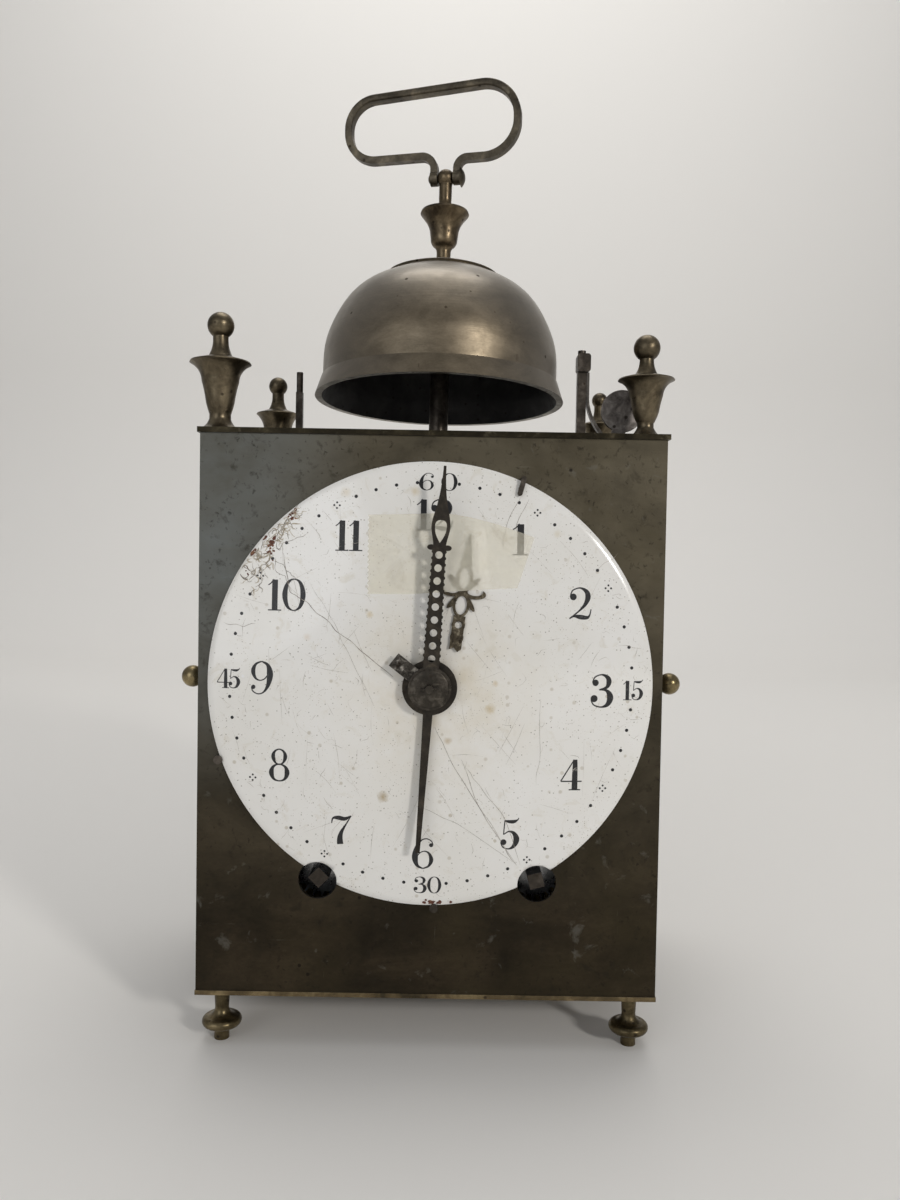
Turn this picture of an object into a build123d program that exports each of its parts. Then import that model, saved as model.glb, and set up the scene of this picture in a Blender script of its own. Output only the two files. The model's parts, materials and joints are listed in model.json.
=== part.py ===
from build123d import *
import math
import os

# A capucine clock in millimetres. +X is the clock's right as seen from the front, the dial faces -Y,
# and +Z is up. The origin lies on the table, under the middle of the whole clock.

# Case
case_width = 130.0
case_depth = 100.0
case_height = 159.8
sheet = 1.2
base_thickness = 1.3
base_lip = 0.2
top_thickness = 1.5
top_lip = 0.7
post_side = 8.0
seat_gap = 0.3
fit_gap = 0.05

# Feet
foot_height = 15.0
foot_inset = 6.2
foot_ring_radius = 5.65
foot_ring_thickness = 2.8
foot_ring_height = 5.1
foot_neck_radius = 2.0
foot_tip_radius = 2.15
foot_ring_slope = 1.4
foot_shoulder = 0.8
foot_flare_height = 3.0
foot_flare = 0.9
foot_stud_radius = 1.5
stud_length = 7.0

# Finials: the left pair is taller than the right pair, and the rear pair has smaller balls
finial_inset_y = 5.0
finial_stud_radius = 1.2
left_finial_inset = 4.35
left_finial_height = 29.1
left_finial_ball = 3.74
left_finial_rim = 8.56
left_finial_bowl = 4.7
left_finial_neck = 2.15
left_finial_waist = 3.0
left_finial_base = 5.6
right_finial_inset = 5.45
right_finial_height = 24.8
right_finial_ball = 3.73
right_finial_rim = 7.95
right_finial_bowl = 4.3
right_finial_neck = 2.0
right_finial_waist = 2.3
right_finial_base = 4.2
rear_left_finial_inset = 4.65
rear_left_finial_height = 28.9
rear_left_finial_ball = 3.4
rear_left_finial_rim = 7.9
rear_right_finial_inset = 4.8
rear_right_finial_height = 25.7
rear_right_finial_ball = 2.9
rear_right_finial_rim = 7.2

# Doors and knobs
knuckle_radius = 1.0
hinge_pin_radius = 0.5
hinge_pin_bite = 5.0
knob_radius = 3.15
knob_standoff = 4.55
knob_neck_radius = 1.3
knob_height = 104.0
side_knob_inset = 12.0
rear_knob_inset = 12.0

# Dial
dial_centre_height = 104.1
dial_radius = 62.0
dial_dome = 4.5
dial_thickness = 1.6
dial_edge = 1.2
dial_land = 2.0
dial_hole_radius = 5.0
panel_opening_radius = 55.0
dial_pin_radius = 0.7
dial_pin_head_radius = 1.2
dial_pin_head = 0.75
dial_pin_lift = 0.2
dial_finger_width = 1.4
dial_finger_length = 4.2
dial_finger_stand = 2.4
dial_finger_clock_angle = 15.0
dial_pin_clock_angles = (249.6, 23.5, 178.2)

# Winding holes and squares
winding_spread = 30.8
winding_height = 48.5
winding_hole_radius = 5.5
winding_square = 4.2
winding_square_recess = 0.3
left_square_turn = 45.0
right_square_turn = 15.0

# Hands, as distances in front of the front panel
alarm_hand_stand = 7.3
hand_thickness = 0.8
hand_gap = 0.3
minute_hand_thickness = 1.0
alarm_hand_length = 45.4
alarm_hand_root = 2.9
alarm_hand_tip = 1.2
alarm_ring_radius = 7.5
alarm_hand_clock_angle = 183.3
hour_stub_length = 12.5
hour_stub_width = 4.2
hour_ring_radius = 5.8
hour_stub_clock_angle = 307.8
minute_hand_length = 60.0
minute_hand_clock_angle = 3.1
minute_disc_radius = 5.9
minute_stem_root = 4.5
minute_stem_end = 3.4
minute_hole_count = 9
minute_hole_radius = 1.0
minute_hole_first = 8.1
minute_hole_last = 36.1
minute_bead_radius = 0.5
cross_pin_radius = 0.45
cross_pin_length = 4.6
cross_pin_clock_angle = 83.0
stud_proud = 0.8

# Broken hour hand and its tape
loose_hand_thickness = 0.6
loose_hand_length = 32.5
loose_hand_stem = 3.3
loose_ring_radius = 1.85
loose_ring_hole = 0.95
lower_loop = (2.3, 3.3)
upper_loop = (2.2, 3.75)
loop_band = 0.75
petal_length = 6.1
petal_half_width = 0.75
petal_angles = (44.0, 142.0)
curl_reach = 6.4
curl_half_height = 1.5
pointer_half_width = 1.56
pointer_tip = 0.12
loose_hand_x = 6.6
loose_hand_rise = 9.75
loose_hand_lean = 7.0
tape_thickness = 0.15
tape_lift = 1.15
tape_tent_width = 13.5
tape_corners = (
    (-17.6, 46.9), (4.6, 47.5), (16.4, 45.2), (28.1, 41.4), (23.5, 27.4), (-3.2, 25.5), (-17.4, 25.2),
)

# Bell and what stands over it
bell_post_x = 0.3
bell_lean_back = 2.4
bell_lean_right = 0.8
post_collar_radius = 3.9
post_collar_height = 1.0
bell_rim_radius = 40.6
bell_rim_lift = 16.6
bell_height = 45.0
bell_wall = 2.2
bell_band = 6.0
bell_band_flare = 2.0
bell_band_step = 0.4
bell_cap_radius = 18.5
bell_cap_step = 1.0
bell_post_radius = 3.1
bell_stud_radius = 2.0
bell_shoulder_radius = 4.5
bell_shoulder_thickness = 1.5
bell_nut_radius = 5.0
bell_nut_thickness = 3.0
bell_finial_height = 29.0
bell_finial_rim = 8.0
bell_finial_cup = 4.5
bell_finial_stem = 2.3
bell_finial_neck = 2.1
pivot_head_radius = 2.9
pivot_head_flat = 2.45
handle_turn = 13.0
handle_left = 33.6
handle_right = 23.7
handle_left_top = 27.3
handle_right_top = 30.3
handle_left_low = 7.4
handle_right_low = 6.1
handle_bar = 2.4
handle_leg_depth = 2.6
handle_top_depth = 4.1
handle_leg_bends = (4.4, 3.4)
handle_left_bends = (9.5, 9.5)
handle_right_bends = (11.0, 11.5)
handle_eye_radius = 2.3
handle_pin_radius = 1.0
rivet_head_radius = 3.1
rivet_head_thickness = 1.4
handle_side_gap = 0.2

# Hammers
hammer_pivot_height = 151.1
strike_hammer_x = 47.2
strike_arm_side = 2.9
strike_arm_rise = 26.8
strike_head_width = 4.4
strike_head_depth = 4.9
strike_head_height = 5.9
strike_head_edge = 1.0
strike_tenon_radius = 1.3
strike_tenon_proud = 1.2
strike_head_offset = 0.5
strike_in_degrees = 5.6
strike_back_degrees = 7.0
alarm_hammer_x = -45.25
alarm_arm_side = 2.2
alarm_arm_rise = 18.8
alarm_tenon_radius = 1.05
alarm_tenon_proud = 6.5
alarm_in_degrees = 4.4
alarm_back_degrees = 7.0
hammer_arbor_radius = 1.4
hammer_collar_radius = 2.6
hammer_tail_length = 34.0
hammer_tail_width = 2.4
slot_margin = 0.5
blade_thickness = 0.9
blade_width = 2.6
blade_foot_x = 57.0
blade_foot_length = 4.0
blade_leave_rise = 19.0
blade_gap = 0.12

# Repeat lever
leaf_radius = 6.2
leaf_x = 54.8
leaf_rise = 8.8
lever_thickness = 1.2
lever_width = 4.0
lever_pivot_x = 51.0
lever_pivot_height = 159.1
lever_press_degrees = 8.0

# Movement, as depths behind the front panel's face
plate_thickness = 2.0
front_plate_depth = 13.0
plates_apart = 30.0
movement_half_width = 55.0
movement_top = 166.1
pillar_radius = 2.5
low_pillar_x = 52.0
low_pillar_height = 20.5
high_pillar_x = 36.0
high_pillar_height = 160.1
arbor_radius = 1.3
pivot_radius = 0.6
end_shake = 0.2

# Wheels: teeth, module, and where each one lies between the plates
great_teeth = 52
great_module = 1.1
great_depth = 20.0
great_thickness = 2.0
drum_radius = 24.0
drum_length = 20.0
drum_wall = 1.5
drum_arbor_radius = 3.0
spring_pack_inner = 9.0
spring_pack_gap = 0.5
ratchet_teeth = 20
ratchet_module = 0.8
ratchet_thickness = 2.0
ratchet_depth = 10.4
click_reach = 4.6
click_thickness = 1.6
click_ring_radius = 2.0
click_clear = 0.3
wheel_thickness = 1.5
thin_wheel = 1.2
pinion_extra = 1.0
intermediate_teeth = 56
intermediate_module = 1.0
intermediate_depth = 17.0
eight_leaves = 8
six_leaves = 6
centre_teeth = 72
centre_module = 0.5
centre_depth = 26.0
third_teeth = 66
third_module = 0.45
third_depth = 31.0
escape_teeth = 40
escape_radius = 11.0
escape_depth = 37.0
escape_rise = 34.0
escape_tooth_depth = 1.8
escape_rim = 1.4
escape_spoke = 1.6
strike_second_teeth = 60
strike_second_module = 0.6
strike_second_clock_angle = 6.3
pin_wheel_teeth = 56
pin_wheel_module = 0.5
pin_wheel_clock_angle = 3.0
pin_wheel_pins = 8
pin_wheel_pin_circle = 10.5
pin_wheel_pin_radius = 0.6
pin_wheel_pin_length = 3.0
pin_wheel_rim = 5.0
locking_teeth = 50
locking_module = 0.4
locking_clock_angle = -19.0
fly_clock_angle = -15.0
fly_half_span = 8.0
fly_length = 9.0
fly_thickness = 0.6
fly_depth = 34.0

# Motion work
cannon_teeth = 12
cannon_module = 0.5
cannon_pipe_radius = 2.2
minute_wheel_teeth = 36
minute_pinion_teeth = 10
hour_wheel_teeth = 40
hour_pipe_radius = 3.2
alarm_pipe_radius = 4.2
alarm_disc_radius = 14.0
alarm_disc_depth = 4.0
alarm_disc_thickness = 1.0
alarm_notch_radius = 2.0
centre_arbor_radius = 1.1
minute_wheel_clock_angle = 135.0
minute_stud_radius = 0.9
cannon_depth = 10.6
cannon_thickness = 1.8
hour_wheel_depth = 7.6
hour_wheel_thickness = 1.4

# Escapement and pendulum
anchor_lift = 5.0
anchor_thickness = 3.0
anchor_clear = 1.2
anchor_arm_width = 2.4
anchor_spread_degrees = 45.0
crutch_length = 32.0
crutch_width = 3.0
crutch_thickness = 1.4
crutch_gap = 2.0
swing_degrees = 4.0
cock_depth = 54.0
cock_half_width = 13.0
cock_height = 16.0
cock_leg = 2.5
pendulum_depth = 58.0
pendulum_length = 110.0
rod_radius = 1.0
bob_radius = 13.0
bob_thickness = 7.0
bob_edge = 1.0
rating_nut_radius = 2.6
rating_nut_height = 2.0
rod_tail = 5.0
suspension_eye_radius = 2.4
suspension_stud_radius = 1.0
fork_prong = 1.0
fork_gap = 0.2

# Places worked out from the sizes above
hour_stub_stand = alarm_hand_stand + hand_thickness + hand_gap
minute_hand_stand = hour_stub_stand + hand_thickness + hand_gap
cross_pin_stand = minute_hand_stand + minute_hand_thickness + cross_pin_radius + fit_gap
front_reach = cross_pin_stand + cross_pin_radius + stud_proud
knob_reach = knob_standoff + knob_radius
front_y = -(case_depth + knob_reach - front_reach) / 2
rear_y = front_y + case_depth
middle_y = front_y + case_depth / 2
side_x = case_width / 2
base_top = foot_height + base_thickness
plate_top = foot_height + case_height
plate_bottom = plate_top - top_thickness
hinge_x = side_x - knuckle_radius
hinge_y = rear_y - knuckle_radius
post_outer_x = side_x - 2 * knuckle_radius - seat_gap
rear_post_y = rear_y - 2 * knuckle_radius - seat_gap
back_plate_depth = front_plate_depth + plate_thickness + plates_apart
gear_space_near = front_plate_depth + plate_thickness
bell_top_lift = bell_rim_lift + bell_height
handle_lift = bell_top_lift + bell_finial_height
handle_upright = handle_lift * math.cos(math.radians(bell_lean_right))
handle_pivot_x = bell_post_x + handle_lift * math.sin(math.radians(bell_lean_right))
handle_pivot_y = middle_y + handle_upright * math.sin(math.radians(bell_lean_back))
handle_pivot_height = plate_top + handle_upright * math.cos(math.radians(bell_lean_back))
dial_centre = (0.0, dial_centre_height)
great_radius = great_teeth * great_module / 2
great_pinion_radius = eight_leaves * great_module / 2
going_barrel_at = (-winding_spread, winding_height)
strike_barrel_at = (winding_spread, winding_height)


def clockwise_point(start, distance, clock_angle):
    """The point at a distance from start, at an angle counted clockwise from straight up."""
    turn = math.radians(clock_angle)
    return start[0] + distance * math.sin(turn), start[1] + distance * math.cos(turn)


def bearing(start, end):
    """The angle of the line from start to end, counted anticlockwise from +X, in degrees."""
    return math.degrees(math.atan2(end[1] - start[1], end[0] - start[0]))


def meeting_point(first, first_distance, second, second_distance, side):
    """The point at two given distances from two centres, on the left (1) or right (-1) of their line."""
    apart = math.dist(first, second)
    along = (first_distance ** 2 - second_distance ** 2 + apart ** 2) / (2 * apart)
    across = side * math.sqrt(first_distance ** 2 - along ** 2)
    ux, uz = (second[0] - first[0]) / apart, (second[1] - first[1]) / apart
    return first[0] + along * ux - across * uz, first[1] + along * uz + across * ux


intermediate_radius = intermediate_teeth * intermediate_module / 2
centre_pinion_radius = eight_leaves * intermediate_module / 2
intermediate_at = meeting_point(
    going_barrel_at,
    great_radius + great_pinion_radius,
    dial_centre,
    intermediate_radius + centre_pinion_radius,
    1,
)
centre_radius = centre_teeth * centre_module / 2
third_pinion_radius = six_leaves * centre_module / 2
third_radius = third_teeth * third_module / 2
escape_pinion_radius = six_leaves * third_module / 2
escape_height = dial_centre_height + escape_rise
anchor_height = escape_height + escape_radius + anchor_lift
escape_at = (0.0, escape_height)
anchor_at = (0.0, anchor_height)
third_at = meeting_point(
    dial_centre,
    centre_radius + third_pinion_radius,
    escape_at,
    third_radius + escape_pinion_radius,
    1,
)
strike_second_at = clockwise_point(
    strike_barrel_at, great_radius + great_pinion_radius, strike_second_clock_angle
)
strike_second_radius = strike_second_teeth * strike_second_module / 2
pin_pinion_radius = eight_leaves * strike_second_module / 2
pin_wheel_at = clockwise_point(
    strike_second_at, strike_second_radius + pin_pinion_radius, pin_wheel_clock_angle
)
pin_wheel_radius = pin_wheel_teeth * pin_wheel_module / 2
locking_pinion_radius = six_leaves * pin_wheel_module / 2
locking_at = clockwise_point(
    pin_wheel_at, pin_wheel_radius + locking_pinion_radius, locking_clock_angle
)
locking_radius = locking_teeth * locking_module / 2
fly_pinion_radius = six_leaves * locking_module / 2
fly_at = clockwise_point(locking_at, locking_radius + fly_pinion_radius, fly_clock_angle)
motion_distance = (cannon_teeth + minute_wheel_teeth) * cannon_module / 2
hour_module = 2 * motion_distance / (minute_pinion_teeth + hour_wheel_teeth)
minute_wheel_at = clockwise_point(dial_centre, motion_distance, minute_wheel_clock_angle)
strike_pivot_at = (strike_hammer_x, hammer_pivot_height)
alarm_pivot_at = (alarm_hammer_x, hammer_pivot_height)
lever_pivot_at = (lever_pivot_x, lever_pivot_height)
click_distance = ratchet_teeth * ratchet_module / 2 + click_reach
going_click_at = clockwise_point(going_barrel_at, click_distance, 40.0)
strike_click_at = clockwise_point(strike_barrel_at, click_distance, -40.0)


def upright_plane(at, depth):
    """A plane that faces the front: its X is the clock's X and its Y is the clock's Z."""
    return Plane(origin=(at[0], front_y + depth, at[1]), x_dir=(1, 0, 0), z_dir=(0, -1, 0))


def slab(sketch, at, near, far):
    """A sketch seen from the front, made solid from depth near to depth far behind the panel's face."""
    return extrude(upright_plane(at, far) * sketch, amount=far - near)


def rod(at, radius, near, far):
    return slab(Circle(radius), at, near, far)


def block(x_span, y_span, z_span):
    size = (x_span[1] - x_span[0], y_span[1] - y_span[0], z_span[1] - z_span[0])
    corner = Pos(x_span[0], y_span[0], z_span[0])
    return corner * Box(*size, align=(Align.MIN, Align.MIN, Align.MIN))


def turned(profile_face, x, y, z):
    """A profile drawn in X (radius) and Z (height), turned about the upright axis through x, y."""
    return Pos(x, y, z) * revolve(profile_face, axis=Axis.Z)


def stud(x, y, z, radius, length):
    return Pos(x, y, z) * Cylinder(radius, length, align=(Align.CENTER, Align.CENTER, Align.MIN))


def profile_face(edges):
    return make_face(edges)


def tooth_outline(teeth, module, phase, pinion):
    """Straight-flanked teeth, thin enough to run in mesh with play at every turn."""
    pitch = 360 / teeth
    radius = teeth * module / 2
    addendum = 0.62 * module if pinion else 0.8 * module
    tip = radius + addendum
    root = radius - 1.2 * module
    root_half = pitch * 0.21
    tip_half = pitch * (0.09 if pinion else 0.06)
    points = []
    for tooth in range(teeth):
        middle = phase + tooth * pitch
        for reach, turn in ((root, -root_half), (tip, -tip_half), (tip, tip_half), (root, root_half)):
            angle = math.radians(middle + turn)
            points.append((reach * math.cos(angle), reach * math.sin(angle)))
    return points


def gear_face(teeth, module, phase, pinion=False):
    return make_face(Polyline(*tooth_outline(teeth, module, phase, pinion), close=True))


def windows(outer_radius, inner_radius, spoke, turn):
    ring = Circle(outer_radius) - Circle(inner_radius)
    bars = Rectangle(2 * outer_radius, spoke) + Rectangle(spoke, 2 * outer_radius)
    return Rot(0, 0, turn) * (ring - bars)


def spoked_gear(teeth, module, phase, turn=0.0, rim_width=1.6):
    """A wheel with its four crossings cut out."""
    radius = teeth * module / 2
    rim = radius - max(1.2 * module, 0.6) - rim_width
    return gear_face(teeth, module, phase) - windows(rim, radius * 0.22 + 1.0, radius * 0.1 + 0.8, turn)


def wheel_arbor(at, radius, near=None, far=None):
    """An arbor between the plates with a pivot in each plate."""
    start = gear_space_near + end_shake if near is None else near
    end = back_plate_depth - end_shake if far is None else far
    shaft = rod(at, radius, start, end)
    front_pivot = rod(at, pivot_radius, front_plate_depth + end_shake, start)
    back_pivot = rod(at, pivot_radius, end, back_plate_depth + plate_thickness - end_shake)
    return shaft + front_pivot + back_pivot


def arbor_under(leaves, module):
    """The thickest arbor that the driving wheel's teeth clear at the bottom of the leaves."""
    return min(arbor_radius, leaves * module / 2 - 1.1 * module)


def make_foot(x, y):
    ring_low = foot_ring_height - foot_ring_thickness / 2
    ring_high = foot_ring_height + foot_ring_thickness / 2
    ring_inner = foot_ring_radius - foot_ring_slope
    ring_edge = foot_ring_radius - foot_ring_slope * 0.7
    waist = foot_neck_radius
    head = foot_neck_radius * 1.15
    edges = [
        Line((0, 0), (foot_tip_radius, 0)),
        Line((foot_tip_radius, 0), (foot_tip_radius, ring_low - foot_shoulder)),
        Line((foot_tip_radius, ring_low - foot_shoulder), (ring_inner, ring_low)),
        ThreePointArc((ring_inner, ring_low), (foot_ring_radius, foot_ring_height), (ring_edge, ring_high)),
        ThreePointArc(
            (ring_edge, ring_high),
            (waist + foot_flare, ring_high + foot_flare_height / 5),
            (waist, ring_high + foot_flare_height),
        ),
        Line((waist, ring_high + foot_flare_height), (head, foot_height)),
        Line((head, foot_height), (0, foot_height)),
        Line((0, foot_height), (0, 0)),
    ]
    face = Rot(90, 0, 0) * profile_face(edges)
    body = turned(face, x, y, 0)
    return body + stud(x, y, foot_height, foot_stud_radius, stud_length)


def make_finial(x, y, height, ball, rim, bowl, neck, waist, base):
    """A vase with a ball on top. Heights are shares of the height of the ball's centre."""
    ball_foot = height - math.sqrt(ball ** 2 - neck ** 2)
    foot_top, waist_top = height * 0.1, height * 0.145
    low, side, high = height * 0.275, height * 0.46, height * 0.635
    shoulder, throat = height * 0.7, height * 0.86
    cup = bowl * 0.86
    edges = [
        Line((0, 0), (base, 0)),
        ThreePointArc((base, 0), (waist + 0.7, height * 0.05), (waist, foot_top)),
        Line((waist, foot_top), (waist, waist_top)),
        ThreePointArc((waist, waist_top), (waist * 0.38 + cup * 0.62, height * 0.215), (cup, low)),
        ThreePointArc((cup, low), (bowl * 0.96, height * 0.37), (bowl * 1.1, side)),
        ThreePointArc((bowl * 1.1, side), (bowl * 1.24, height * 0.545), (rim, high)),
        Line((rim, high), (rim - 0.25, height * 0.65)),
        Line((rim - 0.25, height * 0.65), (neck * 1.6, shoulder)),
        ThreePointArc((neck * 1.6, shoulder), (neck * 1.2, height * 0.765), (neck, throat)),
        Line((neck, throat), (neck, ball_foot)),
        ThreePointArc((neck, ball_foot), (ball, height), (0, height + ball)),
        Line((0, height + ball), (0, 0)),
    ]
    face = Rot(90, 0, 0) * profile_face(edges)
    body = turned(face, x, y, plate_top)
    screw = stud(x, y, plate_top - stud_length, finial_stud_radius, stud_length)
    return body + screw


def corner_signs():
    return (("front_left", -1, -1), ("front_right", 1, -1), ("rear_left", -1, 1), ("rear_right", 1, 1))


def foot_place(side, end):
    y = front_y + foot_inset if end < 0 else rear_y - foot_inset
    return side * (side_x - foot_inset), y


def finial_inset(side, end):
    front = left_finial_inset if side < 0 else right_finial_inset
    rear = rear_left_finial_inset if side < 0 else rear_right_finial_inset
    return front if end < 0 else rear


def finial_place(side, end):
    y = front_y + finial_inset_y if end < 0 else rear_y - finial_inset_y
    return side * (side_x - finial_inset(side, end)), y


def finial_sizes(side, end):
    """Height, ball, rim, bowl, neck, waist and base of the finial on one corner."""
    if side < 0:
        front = (left_finial_height, left_finial_ball, left_finial_rim)
        rear = (rear_left_finial_height, rear_left_finial_ball, rear_left_finial_rim)
        rest = (left_finial_bowl, left_finial_neck, left_finial_waist, left_finial_base)
    else:
        front = (right_finial_height, right_finial_ball, right_finial_rim)
        rear = (rear_right_finial_height, rear_right_finial_ball, rear_right_finial_rim)
        rest = (right_finial_bowl, right_finial_neck, right_finial_waist, right_finial_base)
    return (front if end < 0 else rear) + rest


def door_axes():
    """Where the three doors turn: name, x, y."""
    rear_x = -side_x + 3 * knuckle_radius + seat_gap
    return (("left", -hinge_x, hinge_y), ("right", hinge_x, hinge_y), ("rear", rear_x, hinge_y))


def make_base_plate():
    plate = block(
        (-side_x - base_lip, side_x + base_lip),
        (front_y - base_lip, rear_y + base_lip),
        (foot_height, base_top),
    )
    for _, side, end in corner_signs():
        x, y = foot_place(side, end)
        plate -= stud(x, y, foot_height, foot_stud_radius + fit_gap, base_thickness)
    for _, x, y in door_axes():
        plate -= stud(x, y, foot_height, hinge_pin_radius + fit_gap, base_thickness)
    return plate


def arm_slot(pivot_x, side, in_degrees, back_degrees, toward_centre):
    """The slot in the top plate that an arm swings in."""
    lift = plate_top - hammer_pivot_height
    reach_in = lift * math.tan(math.radians(in_degrees)) + side / 2 + slot_margin
    reach_back = lift * math.tan(math.radians(back_degrees)) + side / 2 + slot_margin
    low, high = (reach_in, reach_back) if toward_centre < 0 else (reach_back, reach_in)
    half = side / 2 + slot_margin
    x_span = (pivot_x - low, pivot_x + high)
    return block(x_span, (middle_y - half, middle_y + half), (plate_bottom, plate_top))


def lever_slot():
    lift = plate_top - lever_pivot_height
    near = front_y + gear_space_near + seat_gap - slot_margin
    far = near + lever_thickness + 2 * slot_margin
    lean = (leaf_x - lever_pivot_x) * lift / (plate_top + leaf_rise - lever_pivot_height)
    middle = lever_pivot_x + lean
    press = lift * math.tan(math.radians(lever_press_degrees))
    half = lever_width / 2 + slot_margin
    return block((middle - half - press, middle + half), (near, far), (plate_bottom, plate_top))


def make_top_plate():
    plate = block(
        (-side_x - top_lip, side_x + top_lip),
        (front_y - top_lip, rear_y + top_lip),
        (plate_bottom, plate_top),
    )
    for _, side, end in corner_signs():
        x, y = finial_place(side, end)
        plate -= stud(x, y, plate_bottom, finial_stud_radius + fit_gap, top_thickness)
    for _, x, y in door_axes():
        plate -= stud(x, y, plate_bottom, hinge_pin_radius + fit_gap, top_thickness)
    plate -= stud(bell_post_x, middle_y, plate_bottom, bell_stud_radius + fit_gap, top_thickness)
    plate -= arm_slot(strike_hammer_x, strike_arm_side, strike_in_degrees, strike_back_degrees, -1)
    plate -= arm_slot(alarm_hammer_x, alarm_arm_side, alarm_in_degrees, alarm_back_degrees, 1)
    return plate - lever_slot()


def make_corner_posts():
    posts = []
    for _, side, end in corner_signs():
        outer_y = front_y + sheet if end < 0 else rear_post_y
        x_span = sorted((side * post_outer_x, side * (post_outer_x - post_side)))
        y_span = sorted((outer_y, outer_y - end * post_side))
        post = block(x_span, y_span, (base_top, plate_bottom))
        x, y = foot_place(side, end)
        post -= stud(x, y, base_top, foot_stud_radius + fit_gap, stud_length)
        x, y = finial_place(side, end)
        post -= stud(x, y, plate_bottom - stud_length, finial_stud_radius + fit_gap, stud_length)
        posts.append(post)
    return Compound(children=posts)


def make_front_panel():
    height = plate_bottom - base_top
    middle = (0.0, base_top + height / 2)
    panel = slab(Rectangle(case_width, height), middle, 0, sheet)
    panel -= rod(dial_centre, panel_opening_radius, 0, sheet)
    for side in (-1, 1):
        panel -= rod((side * winding_spread, winding_height), winding_hole_radius, 0, sheet)
    for angle in dial_pin_clock_angles:
        at = clockwise_point(dial_centre, dial_radius + dial_pin_radius + fit_gap, angle)
        panel -= rod(at, dial_pin_radius + fit_gap, 0, sheet)
    return panel


def dome_depth(radius, lift=0.0):
    """The depth of the dial's front at a radius, less a lift. In front of the panel it is negative."""
    return -(dial_thickness + dial_dome * (1 - (radius / dial_radius) ** 2)) - lift


def make_dial():
    edge = dial_radius
    land = dial_radius - dial_land
    hole = dial_hole_radius
    middle = dial_radius / 2
    front_arc = ThreePointArc(
        (edge, -dial_edge), (middle, dome_depth(middle)), (hole, dome_depth(hole))
    )
    back_arc = ThreePointArc(
        (hole, dome_depth(hole) + dial_thickness), (middle, dome_depth(middle) + dial_thickness), (land, 0)
    )
    outline = [
        Line((land, 0), (edge, 0)),
        Line((edge, 0), (edge, -dial_edge)),
        front_arc,
        Line((hole, dome_depth(hole)), (hole, dome_depth(hole) + dial_thickness)),
        back_arc,
    ]
    face = profile_face(outline)
    bowl = Pos(0, front_y, dial_centre_height) * revolve(face, axis=Axis.Y)
    front_limit = -(dial_thickness + dial_dome)
    for side in (-1, 1):
        bowl -= rod((side * winding_spread, winding_height), winding_hole_radius, front_limit, sheet)
    return bowl


def make_dial_pins():
    """Two round pins, and one at the top that is bent over the dial's edge."""
    pins = []
    left, upper, lower = dial_pin_clock_angles
    for angle in (left, upper, lower):
        at = clockwise_point(dial_centre, dial_radius + dial_pin_radius + fit_gap, angle)
        seat = dial_finger_stand if angle == upper else dial_edge + dial_pin_lift
        shape = Circle(dial_pin_head_radius)
        if angle == upper:
            bar = Pos(0, -dial_finger_length / 2) * Rectangle(dial_finger_width, dial_finger_length)
            tip = Pos(0, -dial_finger_length) * Circle(dial_finger_width / 2)
            shape = Rot(0, 0, -dial_finger_clock_angle) * (bar + tip) + Circle(dial_finger_width / 2)
        pins.append(rod(at, dial_pin_radius, -seat, sheet) + slab(shape, at, -seat - dial_pin_head, -seat))
    return Compound(children=pins)


def side_door_spans(side):
    x_span = sorted((side * side_x, side * (side_x - sheet)))
    return x_span, (front_y + sheet + seat_gap, hinge_y)


def door_heights():
    return base_top + seat_gap, plate_bottom - seat_gap


def knuckle(x, y):
    low, high = door_heights()
    return stud(x, y, low, knuckle_radius, high - low)


def knuckle_bores(x, y):
    low, high = door_heights()
    bore = hinge_pin_radius + fit_gap
    depth = hinge_pin_bite + fit_gap
    return stud(x, y, low, bore, depth) + stud(x, y, high - depth, bore, depth)


def knob_hole(start, direction):
    plane = Plane(origin=start, z_dir=direction)
    inward = (Align.CENTER, Align.CENTER, Align.MAX)
    return plane * Cylinder(knob_neck_radius / 2 + fit_gap, sheet, align=inward)


def side_knob_place(side):
    return side * side_x, front_y + side_knob_inset, knob_height


def rear_knob_place():
    return side_x - rear_knob_inset, rear_y, knob_height


def make_side_door(side):
    x_span, y_span = side_door_spans(side)
    door = block(x_span, y_span, door_heights()) + knuckle(side * hinge_x, hinge_y)
    door -= knuckle_bores(side * hinge_x, hinge_y)
    return door - knob_hole(side_knob_place(side), (side, 0, 0))


def make_rear_door():
    _, x, y = door_axes()[2]
    far_x = side_x - 2 * knuckle_radius - seat_gap
    door = block((x, far_x), (rear_y - sheet, rear_y), door_heights()) + knuckle(x, y)
    door -= knuckle_bores(x, y)
    return door - knob_hole(rear_knob_place(), (0, 1, 0))


def make_knob(start, direction):
    """A ball on a short neck, with a spigot riveted through the door."""
    neck_length = knob_standoff - knob_radius * 0.9
    plane = Plane(origin=start, z_dir=direction)
    up = (Align.CENTER, Align.CENTER, Align.MIN)
    neck = Cylinder(knob_neck_radius, neck_length, align=up)
    flange = Cylinder(knob_neck_radius * 1.7, 0.6, align=up)
    ball = Pos(0, 0, knob_standoff) * Sphere(knob_radius)
    spigot = Pos(0, 0, -sheet) * Cylinder(knob_neck_radius / 2, sheet + 0.2, align=up)
    return plane * (neck + flange + ball + spigot)


def make_hinge_pins():
    low, high = door_heights()
    pins = []
    for _, x, y in door_axes():
        pins.append(stud(x, y, foot_height, hinge_pin_radius, low + hinge_pin_bite - foot_height))
        start = high - hinge_pin_bite
        pins.append(stud(x, y, start, hinge_pin_radius, plate_top - start))
    return Compound(children=pins)


def bell_frame():
    """The frame of the leaning post, bell and bell finial: its origin is the post's foot."""
    return Pos(bell_post_x, middle_y, plate_top) * Rot(-bell_lean_back, bell_lean_right, 0)


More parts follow.
